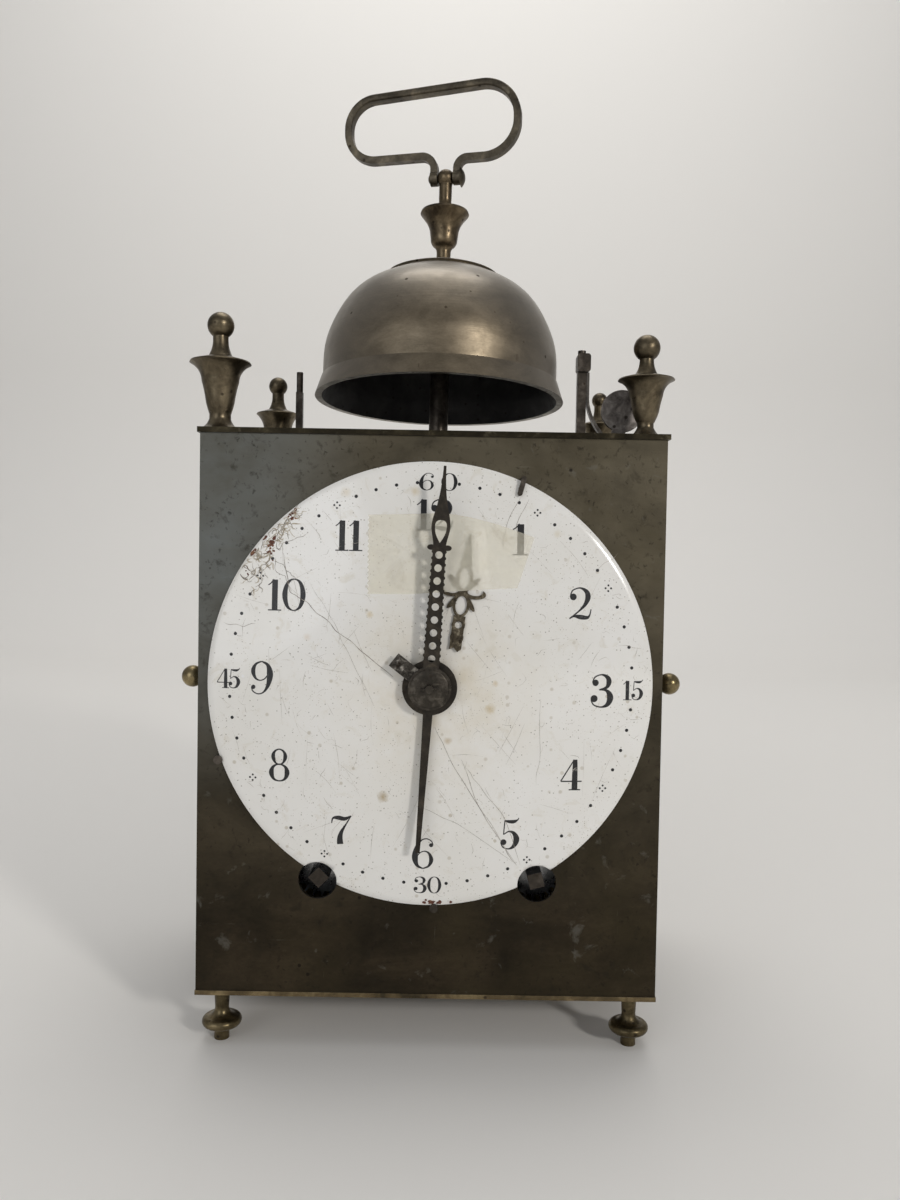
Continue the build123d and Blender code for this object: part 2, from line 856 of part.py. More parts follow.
def bell_profile(inset):
    """The bell's outline with its wall taken off by inset: radius and height above the rim."""
    rim = bell_rim_radius - inset
    crown = bell_height - bell_cap_step - inset
    return [
        (rim, 0.0),
        (rim - bell_band_flare - bell_band_step, bell_band),
        (rim * 0.93, crown * 0.372),
        (rim * 0.852, crown * 0.578),
        (rim * 0.746, crown * 0.732),
        (rim * 0.596, crown * 0.845),
        (bell_cap_radius - inset * 0.4, crown * 0.91),
        (0.0, crown),
    ]


def bell_solid(inset, with_band):
    points = bell_profile(inset)
    rim, band, crown = points[0], points[1], points[-1]
    edges = [Spline(*points[1:], tangents=((-0.02, 1), (-1, 0))), Line(crown, (0, 0)), Line((0, 0), rim)]
    if with_band:
        lip_top = (band[0] + bell_band_step, band[1])
        edges += [Line(rim, lip_top), Line(lip_top, band)]
    else:
        edges += [Line(rim, band)]
    face = Rot(90, 0, 0) * profile_face(edges)
    return bell_frame() * turned(face, 0, 0, bell_rim_lift)


def bell_cap():
    """The low raised round on the crown of the bell."""
    edge_height = bell_profile(0)[-2][1]
    crown = bell_height - bell_cap_step
    middle = (bell_cap_radius * 0.5, edge_height + bell_cap_step + (crown - edge_height) * 0.75)
    arc = ThreePointArc((bell_cap_radius, edge_height + bell_cap_step * 0.9), middle, (0, bell_height))
    root = (bell_cap_radius * 0.9, edge_height - 0.3)
    edges = [
        Line((0, crown - bell_wall / 2), root),
        Line(root, (bell_cap_radius, edge_height + bell_cap_step * 0.9)),
        arc,
        Line((0, bell_height), (0, crown - bell_wall / 2)),
    ]
    return bell_frame() * turned(Rot(90, 0, 0) * profile_face(edges), 0, 0, bell_rim_lift)


def make_bell():
    shell = bell_solid(0, True) + bell_cap() - bell_solid(bell_wall, False)
    hole = stud(0, 0, bell_rim_lift, bell_stud_radius + fit_gap, bell_height)
    return shell - bell_frame() * hole


def make_bell_post():
    """The leaning post with the shoulder under the bell, its collar on the plate and its nut below."""
    foot = post_collar_height / 2
    seat = bell_rim_lift + bell_profile(bell_wall)[-1][1] - bell_shoulder_thickness
    post = stud(0, 0, foot, bell_post_radius, seat - foot)
    post += stud(0, 0, seat, bell_shoulder_radius, bell_shoulder_thickness - seat_gap)
    post += stud(0, 0, seat, bell_stud_radius, bell_top_lift + stud_length / 2 - seat)
    post = bell_frame() * post
    post += stud(bell_post_x, middle_y, plate_top, post_collar_radius, post_collar_height)
    low = plate_bottom - bell_nut_thickness
    post += stud(bell_post_x, middle_y, low, bell_stud_radius, plate_top - low)
    hexagon = RegularPolygon(bell_nut_radius, 6)
    return post + Pos(bell_post_x, middle_y, low) * extrude(hexagon, amount=bell_nut_thickness)


def make_bell_finial():
    """The cup over the bell with the head that the handle turns on, bored for the handle's pin."""
    top = bell_finial_height
    stem, neck, cup, rim = bell_finial_stem, bell_finial_neck, bell_finial_cup, bell_finial_rim
    waist, bead, low = top * 0.15, top * 0.21, top * 0.27
    high, side, rim_height = top * 0.37, top * 0.51, top * 0.585
    head = pivot_head_radius
    head_foot = top - math.sqrt(head ** 2 - neck ** 2)
    edges = [
        Line((0, 0), (stem * 1.15, 0)),
        ThreePointArc((stem * 1.15, 0), (stem * 1.02, waist / 2), (stem * 1.02, waist)),
        ThreePointArc((stem * 1.02, waist), (stem * 1.12, top * 0.185), (stem * 1.35, bead)),
        ThreePointArc((stem * 1.35, bead), (cup * 0.86, top * 0.235), (cup * 0.96, low)),
        Line((cup * 0.96, low), (cup * 1.04, high)),
        ThreePointArc((cup * 1.04, high), (cup * 1.16, top * 0.445), (cup * 1.4, side)),
        Line((cup * 1.4, side), (rim, rim_height)),
        Line((rim, rim_height), (rim - 0.25, top * 0.61)),
        Line((rim - 0.25, top * 0.61), (neck * 1.5, top * 0.635)),
        ThreePointArc((neck * 1.5, top * 0.635), (neck * 1.12, top * 0.68), (neck, top * 0.76)),
        Line((neck, top * 0.76), (neck, head_foot)),
        ThreePointArc((neck, head_foot), (head, top), (0, top + head)),
        Line((0, top + head), (0, 0)),
    ]
    body = turned(Rot(90, 0, 0) * profile_face(edges), 0, 0, bell_top_lift)
    body -= stud(0, 0, bell_top_lift, bell_stud_radius + fit_gap, stud_length / 2 + fit_gap)
    bore = handle_frame() * Cylinder(handle_pin_radius + fit_gap, 4 * head, rotation=(0, 90, 0))
    body = bell_frame() * body - bore
    for turn in (-1, 1):
        beyond = Pos(turn * (pivot_head_flat + head), 0, 0) * Box(2 * head, 4 * head, 4 * head)
        body -= handle_frame() * beyond
    return body


def handle_frame():
    """The handle's own frame: X along its hinge pin, Z up through the loop, origin on the pin."""
    return Pos(handle_pivot_x, handle_pivot_y, handle_pivot_height) * Rot(0, 0, -handle_turn)


def leg_x():
    return pivot_head_flat + handle_side_gap + handle_bar / 2


def handle_taper():
    """A wedge that leaves the handle narrow at its legs and deep along its top."""
    low, high = handle_left_low, handle_left_top
    leg, top = handle_leg_depth / 2, handle_top_depth / 2
    reach = handle_right_top + handle_bar
    side = [(leg, -handle_eye_radius), (leg, low), (top, high), (top, reach)]
    outline = side + [(-depth, height) for depth, height in reversed(side)]
    face = make_face(Polyline(*outline, close=True))
    width = handle_left + handle_bar
    return extrude(Plane(origin=(-width, 0, 0), x_dir=(0, 1, 0), z_dir=(1, 0, 0)) * face, amount=2 * width)


def make_handle():
    leg = leg_x()
    left, right = -handle_left, handle_right
    corners = [
        (-leg, 0), (-leg, handle_left_low), (left, handle_left_low), (left, handle_left_top),
        (right, handle_right_top), (right, handle_right_low), (leg, handle_right_low), (leg, 0),
    ]
    left_low, left_high = handle_left_bends
    right_low, right_high = handle_right_bends
    left_leg, right_leg = handle_leg_bends
    bends = [left_leg, left_low, left_high, right_high, right_low, right_leg]
    path = FilletPolyline(*corners, radius=bends)
    path = Rot(90, 0, 0) * path
    section = RectangleRounded(handle_bar, handle_top_depth, handle_bar * 0.3)
    loop = sweep(Plane(origin=(-leg, 0, 0), z_dir=(0, 0, 1)) * section, path=path) & handle_taper()
    for turn in (-1, 1):
        eye = Cylinder(handle_eye_radius, handle_bar, rotation=(0, 90, 0))
        loop += Pos(turn * leg, 0, 0) * eye
    loop -= Cylinder(handle_pin_radius + fit_gap, 4 * leg, rotation=(0, 90, 0))
    return handle_frame() * loop


def make_handle_pin():
    half = leg_x() + handle_bar / 2 + fit_gap
    shank = Cylinder(handle_pin_radius, 2 * half, rotation=(0, 90, 0))
    right = Pos(half, 0, 0) * Rot(0, 90, 0) * domed_head(rivet_head_radius, rivet_head_thickness)
    small_head = domed_head(rivet_head_radius * 0.55, rivet_head_thickness * 0.6)
    left = Pos(-half, 0, 0) * Rot(0, -90, 0) * small_head
    return handle_frame() * (shank + right + left)


def domed_head(radius, thickness):
    sphere = (radius ** 2 + thickness ** 2) / (2 * thickness)
    half_way = thickness - sphere + math.sqrt(sphere ** 2 - radius ** 2 / 4)
    edges = [
        Line((0, 0), (radius, 0)),
        ThreePointArc((radius, 0), (radius / 2, half_way), (0, thickness)),
        Line((0, thickness), (0, 0)),
    ]
    return revolve(Rot(90, 0, 0) * profile_face(edges), axis=Axis.Z)


def hammer_arbor(at, half):
    """The arbor from the front plate to the arm behind the back plate, with the arm's collar."""
    arm_depth = middle_y - front_y
    start = gear_space_near + end_shake
    arbor = rod(at, hammer_arbor_radius, start, arm_depth)
    arbor += rod(at, pivot_radius, front_plate_depth + end_shake, start)
    return arbor + rod(at, hammer_collar_radius, arm_depth - half, arm_depth + half)


def make_strike_arm():
    """The square arm that stands up through the top plate, with its arbor and its tail."""
    half = strike_arm_side / 2
    x, pivot = strike_pivot_at
    top = plate_top + strike_arm_rise
    arm = block((x - half, x + half), (middle_y - half, middle_y + half), (pivot, top))
    arm += stud(x, middle_y, top, strike_tenon_radius, strike_head_height + strike_tenon_proud)
    arm += hammer_arbor(strike_pivot_at, half)
    tail_near = centre_depth + wheel_thickness + pinion_extra
    tail = Pos(0, -hammer_tail_length / 2) * Rectangle(hammer_tail_width, hammer_tail_length)
    return arm + slab(tail, strike_pivot_at, tail_near, tail_near + thin_wheel)


def make_strike_head():
    low = plate_top + strike_arm_rise
    x = strike_hammer_x + strike_head_offset
    half, deep = strike_head_width / 2, strike_head_depth / 2
    head = block((x - half, x + half), (middle_y - deep, middle_y + deep), (low, low + strike_head_height))
    head = fillet(head.edges().filter_by(Axis.Y), strike_head_edge)
    return head - stud(strike_hammer_x, middle_y, low, strike_tenon_radius + fit_gap, strike_head_height)


def make_blade_spring():
    """A thin blade: its foot lies on the top plate and its tip bears on the arm under the head."""
    start_x = strike_hammer_x + strike_arm_side / 2 + blade_gap
    top = plate_top + strike_arm_rise - blade_gap
    leave = plate_top + blade_leave_rise
    thick = blade_thickness
    foot_end = blade_foot_x + blade_foot_length
    bend = ((0, -1), (0.35, -1))
    inner = [
        Line((start_x, top), (start_x, leave)),
        Spline((start_x, leave), (blade_foot_x, plate_top), tangents=bend),
    ]
    outer = [
        Line((start_x + thick, top), (start_x + thick, leave)),
        Spline((start_x + thick, leave), (blade_foot_x + thick, plate_top + thick), tangents=bend),
        Line((blade_foot_x + thick, plate_top + thick), (foot_end, plate_top + thick)),
        Line((foot_end, plate_top + thick), (foot_end, plate_top)),
        Line((foot_end, plate_top), (blade_foot_x, plate_top)),
    ]
    edges = inner + outer + [Line((start_x, top), (start_x + thick, top))]
    face = upright_plane((0, 0), middle_y - front_y + blade_width / 2) * profile_face(edges)
    return extrude(face, amount=blade_width)


def make_alarm_arm():
    """The alarm hammer's arm, as it is left without its head, with its arbor."""
    half = alarm_arm_side / 2
    x, pivot = alarm_pivot_at
    top = plate_top + alarm_arm_rise
    arm = block((x - half, x + half), (middle_y - half, middle_y + half), (pivot, top))
    arm += stud(x, middle_y, top, alarm_tenon_radius, alarm_tenon_proud)
    return arm + hammer_arbor(alarm_pivot_at, half)


def make_repeat_lever():
    near = gear_space_near + seat_gap
    x, z = lever_pivot_at
    rise = plate_top + leaf_rise - z
    lean = math.degrees(math.atan2(leaf_x - x, rise))
    length = math.hypot(leaf_x - x, rise)
    strip = Pos(0, length / 2) * Rectangle(lever_width, length)
    shape = Rot(0, 0, -lean) * (strip + Circle(lever_width * 0.8) + Pos(0, length) * Circle(leaf_radius))
    shape -= Circle(suspension_stud_radius + fit_gap)
    return slab(shape, lever_pivot_at, near, near + lever_thickness)


def pivot_places():
    return (
        intermediate_at, third_at, escape_at, strike_second_at, pin_wheel_at, locking_at, fly_at,
        strike_pivot_at, alarm_pivot_at,
    )


def movement_plate(depth):
    height = movement_top - base_top
    middle = (0.0, base_top + height / 2)
    plate = slab(Rectangle(2 * movement_half_width, height), middle, depth, depth + plate_thickness)
    holes = [(at, pivot_radius) for at in pivot_places() if at not in (strike_pivot_at, alarm_pivot_at)]
    for at, radius in holes:
        plate -= rod(at, radius + fit_gap, depth, depth + plate_thickness)
    return plate


def make_front_plate():
    plate = movement_plate(front_plate_depth)
    far = front_plate_depth + plate_thickness
    for at in (strike_pivot_at, alarm_pivot_at, anchor_at):
        plate -= rod(at, pivot_radius + fit_gap, front_plate_depth, far)
    plate -= rod(dial_centre, centre_arbor_radius + fit_gap, front_plate_depth, far)
    for at in (going_barrel_at, strike_barrel_at):
        plate -= rod(at, drum_arbor_radius * 0.8 + fit_gap, front_plate_depth, far)
    plate += rod(minute_wheel_at, minute_stud_radius, hour_wheel_depth - 1.0, front_plate_depth)
    for at in (going_click_at, strike_click_at):
        plate += rod(at, minute_stud_radius, ratchet_depth - 0.3, front_plate_depth)
    near = gear_space_near
    plate += rod(lever_pivot_at, suspension_stud_radius, near, near + lever_thickness + 2 * seat_gap)
    return plate


def make_back_plate():
    plate = movement_plate(back_plate_depth)
    far = back_plate_depth + plate_thickness
    for at in (strike_pivot_at, alarm_pivot_at):
        plate -= rod(at, hammer_arbor_radius + fit_gap, back_plate_depth, far)
    plate -= rod(anchor_at, 2 * arbor_radius, back_plate_depth, far)
    plate -= rod(dial_centre, pivot_radius + fit_gap, back_plate_depth, far)
    for at in (going_barrel_at, strike_barrel_at):
        plate -= rod(at, drum_arbor_radius / 2 + fit_gap, back_plate_depth, far)
    return plate


def make_pillars():
    places = ((low_pillar_x, low_pillar_height), (high_pillar_x, high_pillar_height))
    pillars = [
        rod((side * x, z), pillar_radius, gear_space_near, back_plate_depth)
        for side in (-1, 1)
        for x, z in places
    ]
    return Compound(children=pillars)


def make_cock():
    """The bridge on the back plate that carries the anchor's rear pivot and hangs the pendulum."""
    foot = back_plate_depth + plate_thickness
    far = cock_depth + plate_thickness
    face = slab(Rectangle(2 * cock_half_width, cock_height), anchor_at, cock_depth, far)
    for side in (-1, 1):
        leg_at = (side * (cock_half_width - cock_leg / 2), anchor_height)
        face += slab(Rectangle(cock_leg, cock_height), leg_at, foot, cock_depth)
    face -= rod(anchor_at, pivot_radius + fit_gap, cock_depth, far - end_shake)
    face += rod(anchor_at, suspension_stud_radius, far - end_shake, pendulum_depth + 1.6)
    return face + rod(anchor_at, suspension_eye_radius * 0.7, pendulum_depth + 1.2, pendulum_depth + 2.0)


def barrel_far():
    return great_depth + great_thickness + drum_length


def make_barrel(at, pinion_at):
    """The drum with its great wheel in front, and the coiled mainspring as a second solid inside."""
    teeth_near, teeth_far = great_depth, great_depth + great_thickness
    wheel = gear_face(great_teeth, great_module, bearing(at, pinion_at))
    drum = slab(wheel, at, teeth_near, teeth_far) + rod(at, drum_radius, teeth_far, barrel_far())
    hollow_near, hollow_far = teeth_far, barrel_far() - drum_wall
    drum -= rod(at, drum_radius - drum_wall, hollow_near, hollow_far)
    drum -= rod(at, drum_arbor_radius + fit_gap, teeth_near, barrel_far())
    gap = spring_pack_gap
    pack = Circle(drum_radius - drum_wall - gap) - Circle(spring_pack_inner)
    spring = slab(pack, at, hollow_near + gap, hollow_far - gap)
    return Compound(children=[drum, spring])


def make_winding_arbor(at, square_turn):
    """The barrel arbor: winding square in front, ratchet wheel, and a pivot in each plate."""
    square_near = sheet + winding_square_recess
    plate_far = front_plate_depth + plate_thickness
    square = Rot(0, 0, square_turn) * Rectangle(winding_square, winding_square)
    arbor = slab(square, at, square_near, ratchet_depth)
    ratchet = gear_face(ratchet_teeth, ratchet_module, 0)
    arbor += slab(ratchet, at, ratchet_depth, ratchet_depth + ratchet_thickness)
    arbor += rod(at, drum_arbor_radius * 0.8, ratchet_depth, plate_far + end_shake)
    arbor += rod(at, drum_arbor_radius, plate_far + end_shake, back_plate_depth - end_shake)
    back_end = back_plate_depth + plate_thickness - end_shake
    return arbor + rod(at, drum_arbor_radius / 2, back_plate_depth - end_shake, back_end)


def click_tip(at, barrel_at):
    """The click's nose, just clear of the ratchet's teeth."""
    tip_radius = ratchet_teeth * ratchet_module / 2 + 0.8 * ratchet_module + click_clear
    side = 1 if at[0] > barrel_at[0] else -1
    return clockwise_point(barrel_at, tip_radius + 0.4, side * 74.0)


def make_click(at, barrel_at):
    tip = click_tip(at, barrel_at)
    length = math.dist(at, tip)
    turn = bearing(at, tip)
    arm = Pos(length / 2, 0) * Rectangle(length, 1.6)
    shape = Rot(0, 0, turn) * (arm + Circle(click_ring_radius)) - Circle(minute_stud_radius + fit_gap)
    tip_circle = ratchet_teeth * ratchet_module / 2 + 0.8 * ratchet_module + click_clear
    middle = (barrel_at[0] - at[0], barrel_at[1] - at[1])
    shape -= Pos(*middle) * Circle(tip_circle)
    near = ratchet_depth + (ratchet_thickness - click_thickness) / 2
    return slab(shape, at, near, near + click_thickness)


def facing_gap(at, wheel_at, leaves):
    """The phase that puts a gap of the pinion at the wheel that drives it."""
    return bearing(at, wheel_at) + 180 / leaves


def make_train_wheel(
    at, driver_at, next_at, leaves, pinion_module, pinion_near, teeth, module, near, thick, rim_width=1.6
):
    """One arbor of a train: a pinion driven by the wheel before it, and a wheel that drives the next."""
    pinion = gear_face(leaves, pinion_module, facing_gap(at, driver_at, leaves), pinion=True)
    wheel = spoked_gear(teeth, module, bearing(at, next_at), 45.0, rim_width)
    arbor = wheel_arbor(at, arbor_under(leaves, pinion_module))
    pinion_far = pinion_near + thick + 2 * pinion_extra
    return arbor + slab(pinion, at, pinion_near, pinion_far) + slab(wheel, at, near, near + thick)


def make_intermediate():
    return make_train_wheel(
        intermediate_at, going_barrel_at, dial_centre, eight_leaves, great_module,
        great_depth - pinion_extra / 2, intermediate_teeth, intermediate_module,
        intermediate_depth, wheel_thickness,
    )


def make_centre_wheel():
    """The centre arbor runs out through the dial; the cross pin in its end is a second solid."""
    pinion = gear_face(
        eight_leaves, intermediate_module, facing_gap(dial_centre, intermediate_at, eight_leaves), pinion=True
    )
    near = intermediate_depth - pinion_extra / 2
    wheel = spoked_gear(centre_teeth, centre_module, bearing(dial_centre, third_at), 45.0)
    arbor = rod(dial_centre, centre_arbor_radius, -front_reach, back_plate_depth - end_shake)
    back_end = back_plate_depth + plate_thickness - end_shake
    arbor += rod(dial_centre, pivot_radius, back_plate_depth - end_shake, back_end)
    arbor += rod(dial_centre, centre_arbor_radius + 0.5, gear_space_near + end_shake, near)
    arbor += slab(pinion, dial_centre, near, near + wheel_thickness + 2 * pinion_extra)
    arbor += slab(wheel, dial_centre, centre_depth, centre_depth + wheel_thickness)
    arbor -= cross_pin(cross_pin_radius + fit_gap, 2 * cross_pin_length)
    return Compound(children=[arbor, cross_pin(cross_pin_radius, cross_pin_length)])


def make_third_wheel():
    return make_train_wheel(
        third_at, dial_centre, escape_at, six_leaves, centre_module, centre_depth - pinion_extra,
        third_teeth, third_module, third_depth, thin_wheel,
    )


def make_escape_wheel():
    pitch = 360 / escape_teeth
    root = escape_radius - escape_tooth_depth
    points = []
    for tooth in range(escape_teeth):
        start = tooth * pitch
        steps = ((root, 0.0), (escape_radius, 0.35), (escape_radius, 0.45), (root, 0.6))
        for reach, share in steps:
            angle = math.radians(start + share * pitch)
            points.append((reach * math.cos(angle), reach * math.sin(angle)))
    crossings = windows(root - escape_rim, escape_radius * 0.25, escape_spoke, 45.0)
    wheel = make_face(Polyline(*points, close=True)) - crossings
    pinion = gear_face(six_leaves, third_module, facing_gap(escape_at, third_at, six_leaves), pinion=True)
    near = third_depth - pinion_extra
    solid = wheel_arbor(escape_at, arbor_under(six_leaves, third_module))
    solid += slab(pinion, escape_at, near, near + thin_wheel + 2 * pinion_extra)
    return solid + slab(wheel, escape_at, escape_depth, escape_depth + wheel_thickness)


def pallet_place(side):
    reach = escape_radius + anchor_clear + anchor_arm_width / 2
    return clockwise_point(escape_at, reach, side * anchor_spread_degrees)


def make_anchor():
    """The anchor with its arbor, and the crutch behind the back plate that holds the pendulum's rod."""
    near = escape_depth + wheel_thickness / 2 - anchor_thickness / 2
    shape = Circle(anchor_arm_width * 1.1)
    for side in (-1, 1):
        pallet = pallet_place(side)
        dx, dz = pallet[0], pallet[1] - anchor_height
        length = math.hypot(dx, dz)
        turn = math.degrees(math.atan2(dz, dx))
        shape += Rot(0, 0, turn) * Pos(length / 2, 0) * Rectangle(length, anchor_arm_width)
        shape += Pos(dx, dz) * Circle(anchor_arm_width / 2)
    solid = slab(shape, anchor_at, near, near + anchor_thickness)
    solid += rod(anchor_at, pivot_radius, front_plate_depth + end_shake, gear_space_near + end_shake)
    solid += rod(anchor_at, arbor_radius, gear_space_near + end_shake, cock_depth - end_shake)
    far_end = cock_depth + plate_thickness - 2 * end_shake
    solid += rod(anchor_at, pivot_radius, cock_depth - end_shake, far_end)
    bar_near = back_plate_depth + plate_thickness + crutch_gap
    bar = Pos(0, -crutch_length / 2) * Rectangle(crutch_width, crutch_length)
    solid += slab(bar, anchor_at, bar_near, bar_near + crutch_thickness)
    foot_at = (0.0, anchor_height - crutch_length)
    half = rod_radius + fork_gap + fork_prong
    solid += slab(Rectangle(2 * half, crutch_width), foot_at, bar_near, bar_near + crutch_thickness)
    for side in (-1, 1):
        prong_at = (side * (rod_radius + fork_gap + fork_prong / 2), foot_at[1])
        prong_far = pendulum_depth + rod_radius + fork_prong
        solid += slab(Rectangle(fork_prong, crutch_width), prong_at, bar_near, prong_far)
    return solid


def bob_height():
    return anchor_height - pendulum_length


def make_pendulum_rod():
    y = front_y + pendulum_depth
    low = bob_height() - bob_radius - rod_tail
    rod_solid = stud(0, y, low, rod_radius, anchor_height - suspension_eye_radius + 0.5 - low)
    eye_near, eye_far = pendulum_depth - 1.0, pendulum_depth + 1.0
    rod_solid += rod(anchor_at, suspension_eye_radius, eye_near, eye_far)
    rod_solid -= rod(anchor_at, suspension_stud_radius + fit_gap, eye_near, eye_far)
    nut_low = bob_height() - bob_radius - rating_nut_height - fit_gap
    return rod_solid + stud(0, y, nut_low, rating_nut_radius, rating_nut_height)


def make_pendulum_bob():
    half = bob_thickness / 2
    edges = [
        Line((0, -half), (0, half)),
        ThreePointArc((0, half), (bob_radius * 0.55, half * 0.78), (bob_radius, bob_edge / 2)),
        Line((bob_radius, bob_edge / 2), (bob_radius, -bob_edge / 2)),
        ThreePointArc((bob_radius, -bob_edge / 2), (bob_radius * 0.55, -half * 0.78), (0, -half)),
    ]
    lens = revolve(profile_face(edges), axis=Axis.Y)
    y = front_y + pendulum_depth
    lens = Pos(0, y, bob_height()) * lens
    return lens - stud(0, y, bob_height() - bob_radius - 1, rod_radius + fit_gap, 2 * bob_radius + 2)


def make_strike_second():
    return make_train_wheel(
        strike_second_at, strike_barrel_at, pin_wheel_at, eight_leaves, great_module,
        great_depth - pinion_extra / 2, strike_second_teeth, strike_second_module,
        intermediate_depth, wheel_thickness,
    )


def make_pin_wheel():
    solid = make_train_wheel(
        pin_wheel_at, strike_second_at, locking_at, eight_leaves, strike_second_module,
        intermediate_depth - pinion_extra, pin_wheel_teeth, pin_wheel_module,
        centre_depth, wheel_thickness, pin_wheel_rim,
    )
    start = centre_depth + wheel_thickness
    for pin in range(pin_wheel_pins):
        at = clockwise_point(pin_wheel_at, pin_wheel_pin_circle, pin * 360 / pin_wheel_pins)
        solid += rod(at, pin_wheel_pin_radius, start, start + pin_wheel_pin_length)
    return solid


def make_locking_wheel():
    return make_train_wheel(
        locking_at, pin_wheel_at, fly_at, six_leaves, pin_wheel_module, centre_depth - pinion_extra,
        locking_teeth, locking_module, third_depth, thin_wheel,
    )


def make_fly():
    pinion = gear_face(six_leaves, locking_module, facing_gap(fly_at, locking_at, six_leaves), pinion=True)
    near = third_depth - pinion_extra
    solid = wheel_arbor(fly_at, arbor_under(six_leaves, locking_module))
    solid += slab(pinion, fly_at, near, near + thin_wheel + 2 * pinion_extra)
    blade = Rectangle(2 * fly_half_span, fly_thickness) + Circle(1.5)
    return solid + slab(blade, fly_at, fly_depth, fly_depth + fly_length)


def make_cannon_pinion():
    pinion = gear_face(
        cannon_teeth, cannon_module, facing_gap(dial_centre, minute_wheel_at, cannon_teeth), pinion=True
    )
    solid = slab(pinion, dial_centre, cannon_depth, cannon_depth + cannon_thickness)
    solid += rod(dial_centre, cannon_pipe_radius, -minute_hand_stand, cannon_depth)
    far = cannon_depth + cannon_thickness
    bore = rod(dial_centre, centre_arbor_radius + fit_gap, -minute_hand_stand, far)
    return solid - bore


def make_minute_wheel():
    wheel = gear_face(minute_wheel_teeth, cannon_module, bearing(minute_wheel_at, dial_centre))
    pinion = gear_face(minute_pinion_teeth, hour_module, bearing(minute_wheel_at, dial_centre), pinion=True)
    wheel_near = cannon_depth + (cannon_thickness - thin_wheel) / 2
    solid = slab(wheel, minute_wheel_at, wheel_near, wheel_near + thin_wheel)
    pinion_near = hour_wheel_depth - seat_gap
    solid += slab(pinion, minute_wheel_at, pinion_near, wheel_near)
    bore = rod(minute_wheel_at, minute_stud_radius + fit_gap, pinion_near, wheel_near + thin_wheel)
    return solid - bore


def make_hour_wheel():
    phase = facing_gap(dial_centre, minute_wheel_at, hour_wheel_teeth)
    wheel = gear_face(hour_wheel_teeth, hour_module, phase)
    solid = slab(wheel, dial_centre, hour_wheel_depth, hour_wheel_depth + hour_wheel_thickness)
    pipe_end = -(hour_stub_stand + hand_thickness)
    solid += rod(dial_centre, hour_pipe_radius, pipe_end, hour_wheel_depth)
    bore = cannon_pipe_radius + fit_gap
    return solid - rod(dial_centre, bore, pipe_end, hour_wheel_depth + hour_wheel_thickness)


def make_alarm_hand():
    """The alarm hand on its pipe, with the setting disc behind the dial."""
    near = -(alarm_hand_stand + hand_thickness)
    outline = [
        (alarm_hand_root / 2, 0), (alarm_hand_tip / 2, alarm_hand_length),
        (-alarm_hand_tip / 2, alarm_hand_length), (-alarm_hand_root / 2, 0),
    ]
    blade = make_face(Polyline(*outline, close=True))
    shape = Rot(0, 0, -alarm_hand_clock_angle) * blade + Circle(alarm_ring_radius)
    solid = slab(shape, dial_centre, near, -alarm_hand_stand)
    disc = Circle(alarm_disc_radius) - Pos(0, alarm_disc_radius) * Circle(alarm_notch_radius)
    disc_far = alarm_disc_depth + alarm_disc_thickness
    solid += slab(disc, dial_centre, alarm_disc_depth, disc_far)
    solid += rod(dial_centre, alarm_pipe_radius, near, disc_far)
    return solid - rod(dial_centre, hour_pipe_radius + fit_gap, near, disc_far)


def make_hour_stub():
    near = -(hour_stub_stand + hand_thickness)
    bar = Pos(0, hour_stub_length / 2) * Rectangle(hour_stub_width, hour_stub_length)
    shape = Rot(0, 0, -hour_stub_clock_angle) * bar + Circle(hour_ring_radius)
    shape -= Circle(hour_pipe_radius)
    return slab(shape, dial_centre, near, -hour_stub_stand)


def minute_outline():
    """Half of the minute hand's outline from its stem to its tip: distance from the centre, half width."""
    length = minute_hand_length
    return [
        (length * 0.628, minute_stem_end / 2),
        (length * 0.657, 1.8),
        (length * 0.725, 2.55),
        (length * 0.785, 2.0),
        (length * 0.83, 1.35),
        (length * 0.905, 0.68),
        (length, 0.36),
    ]


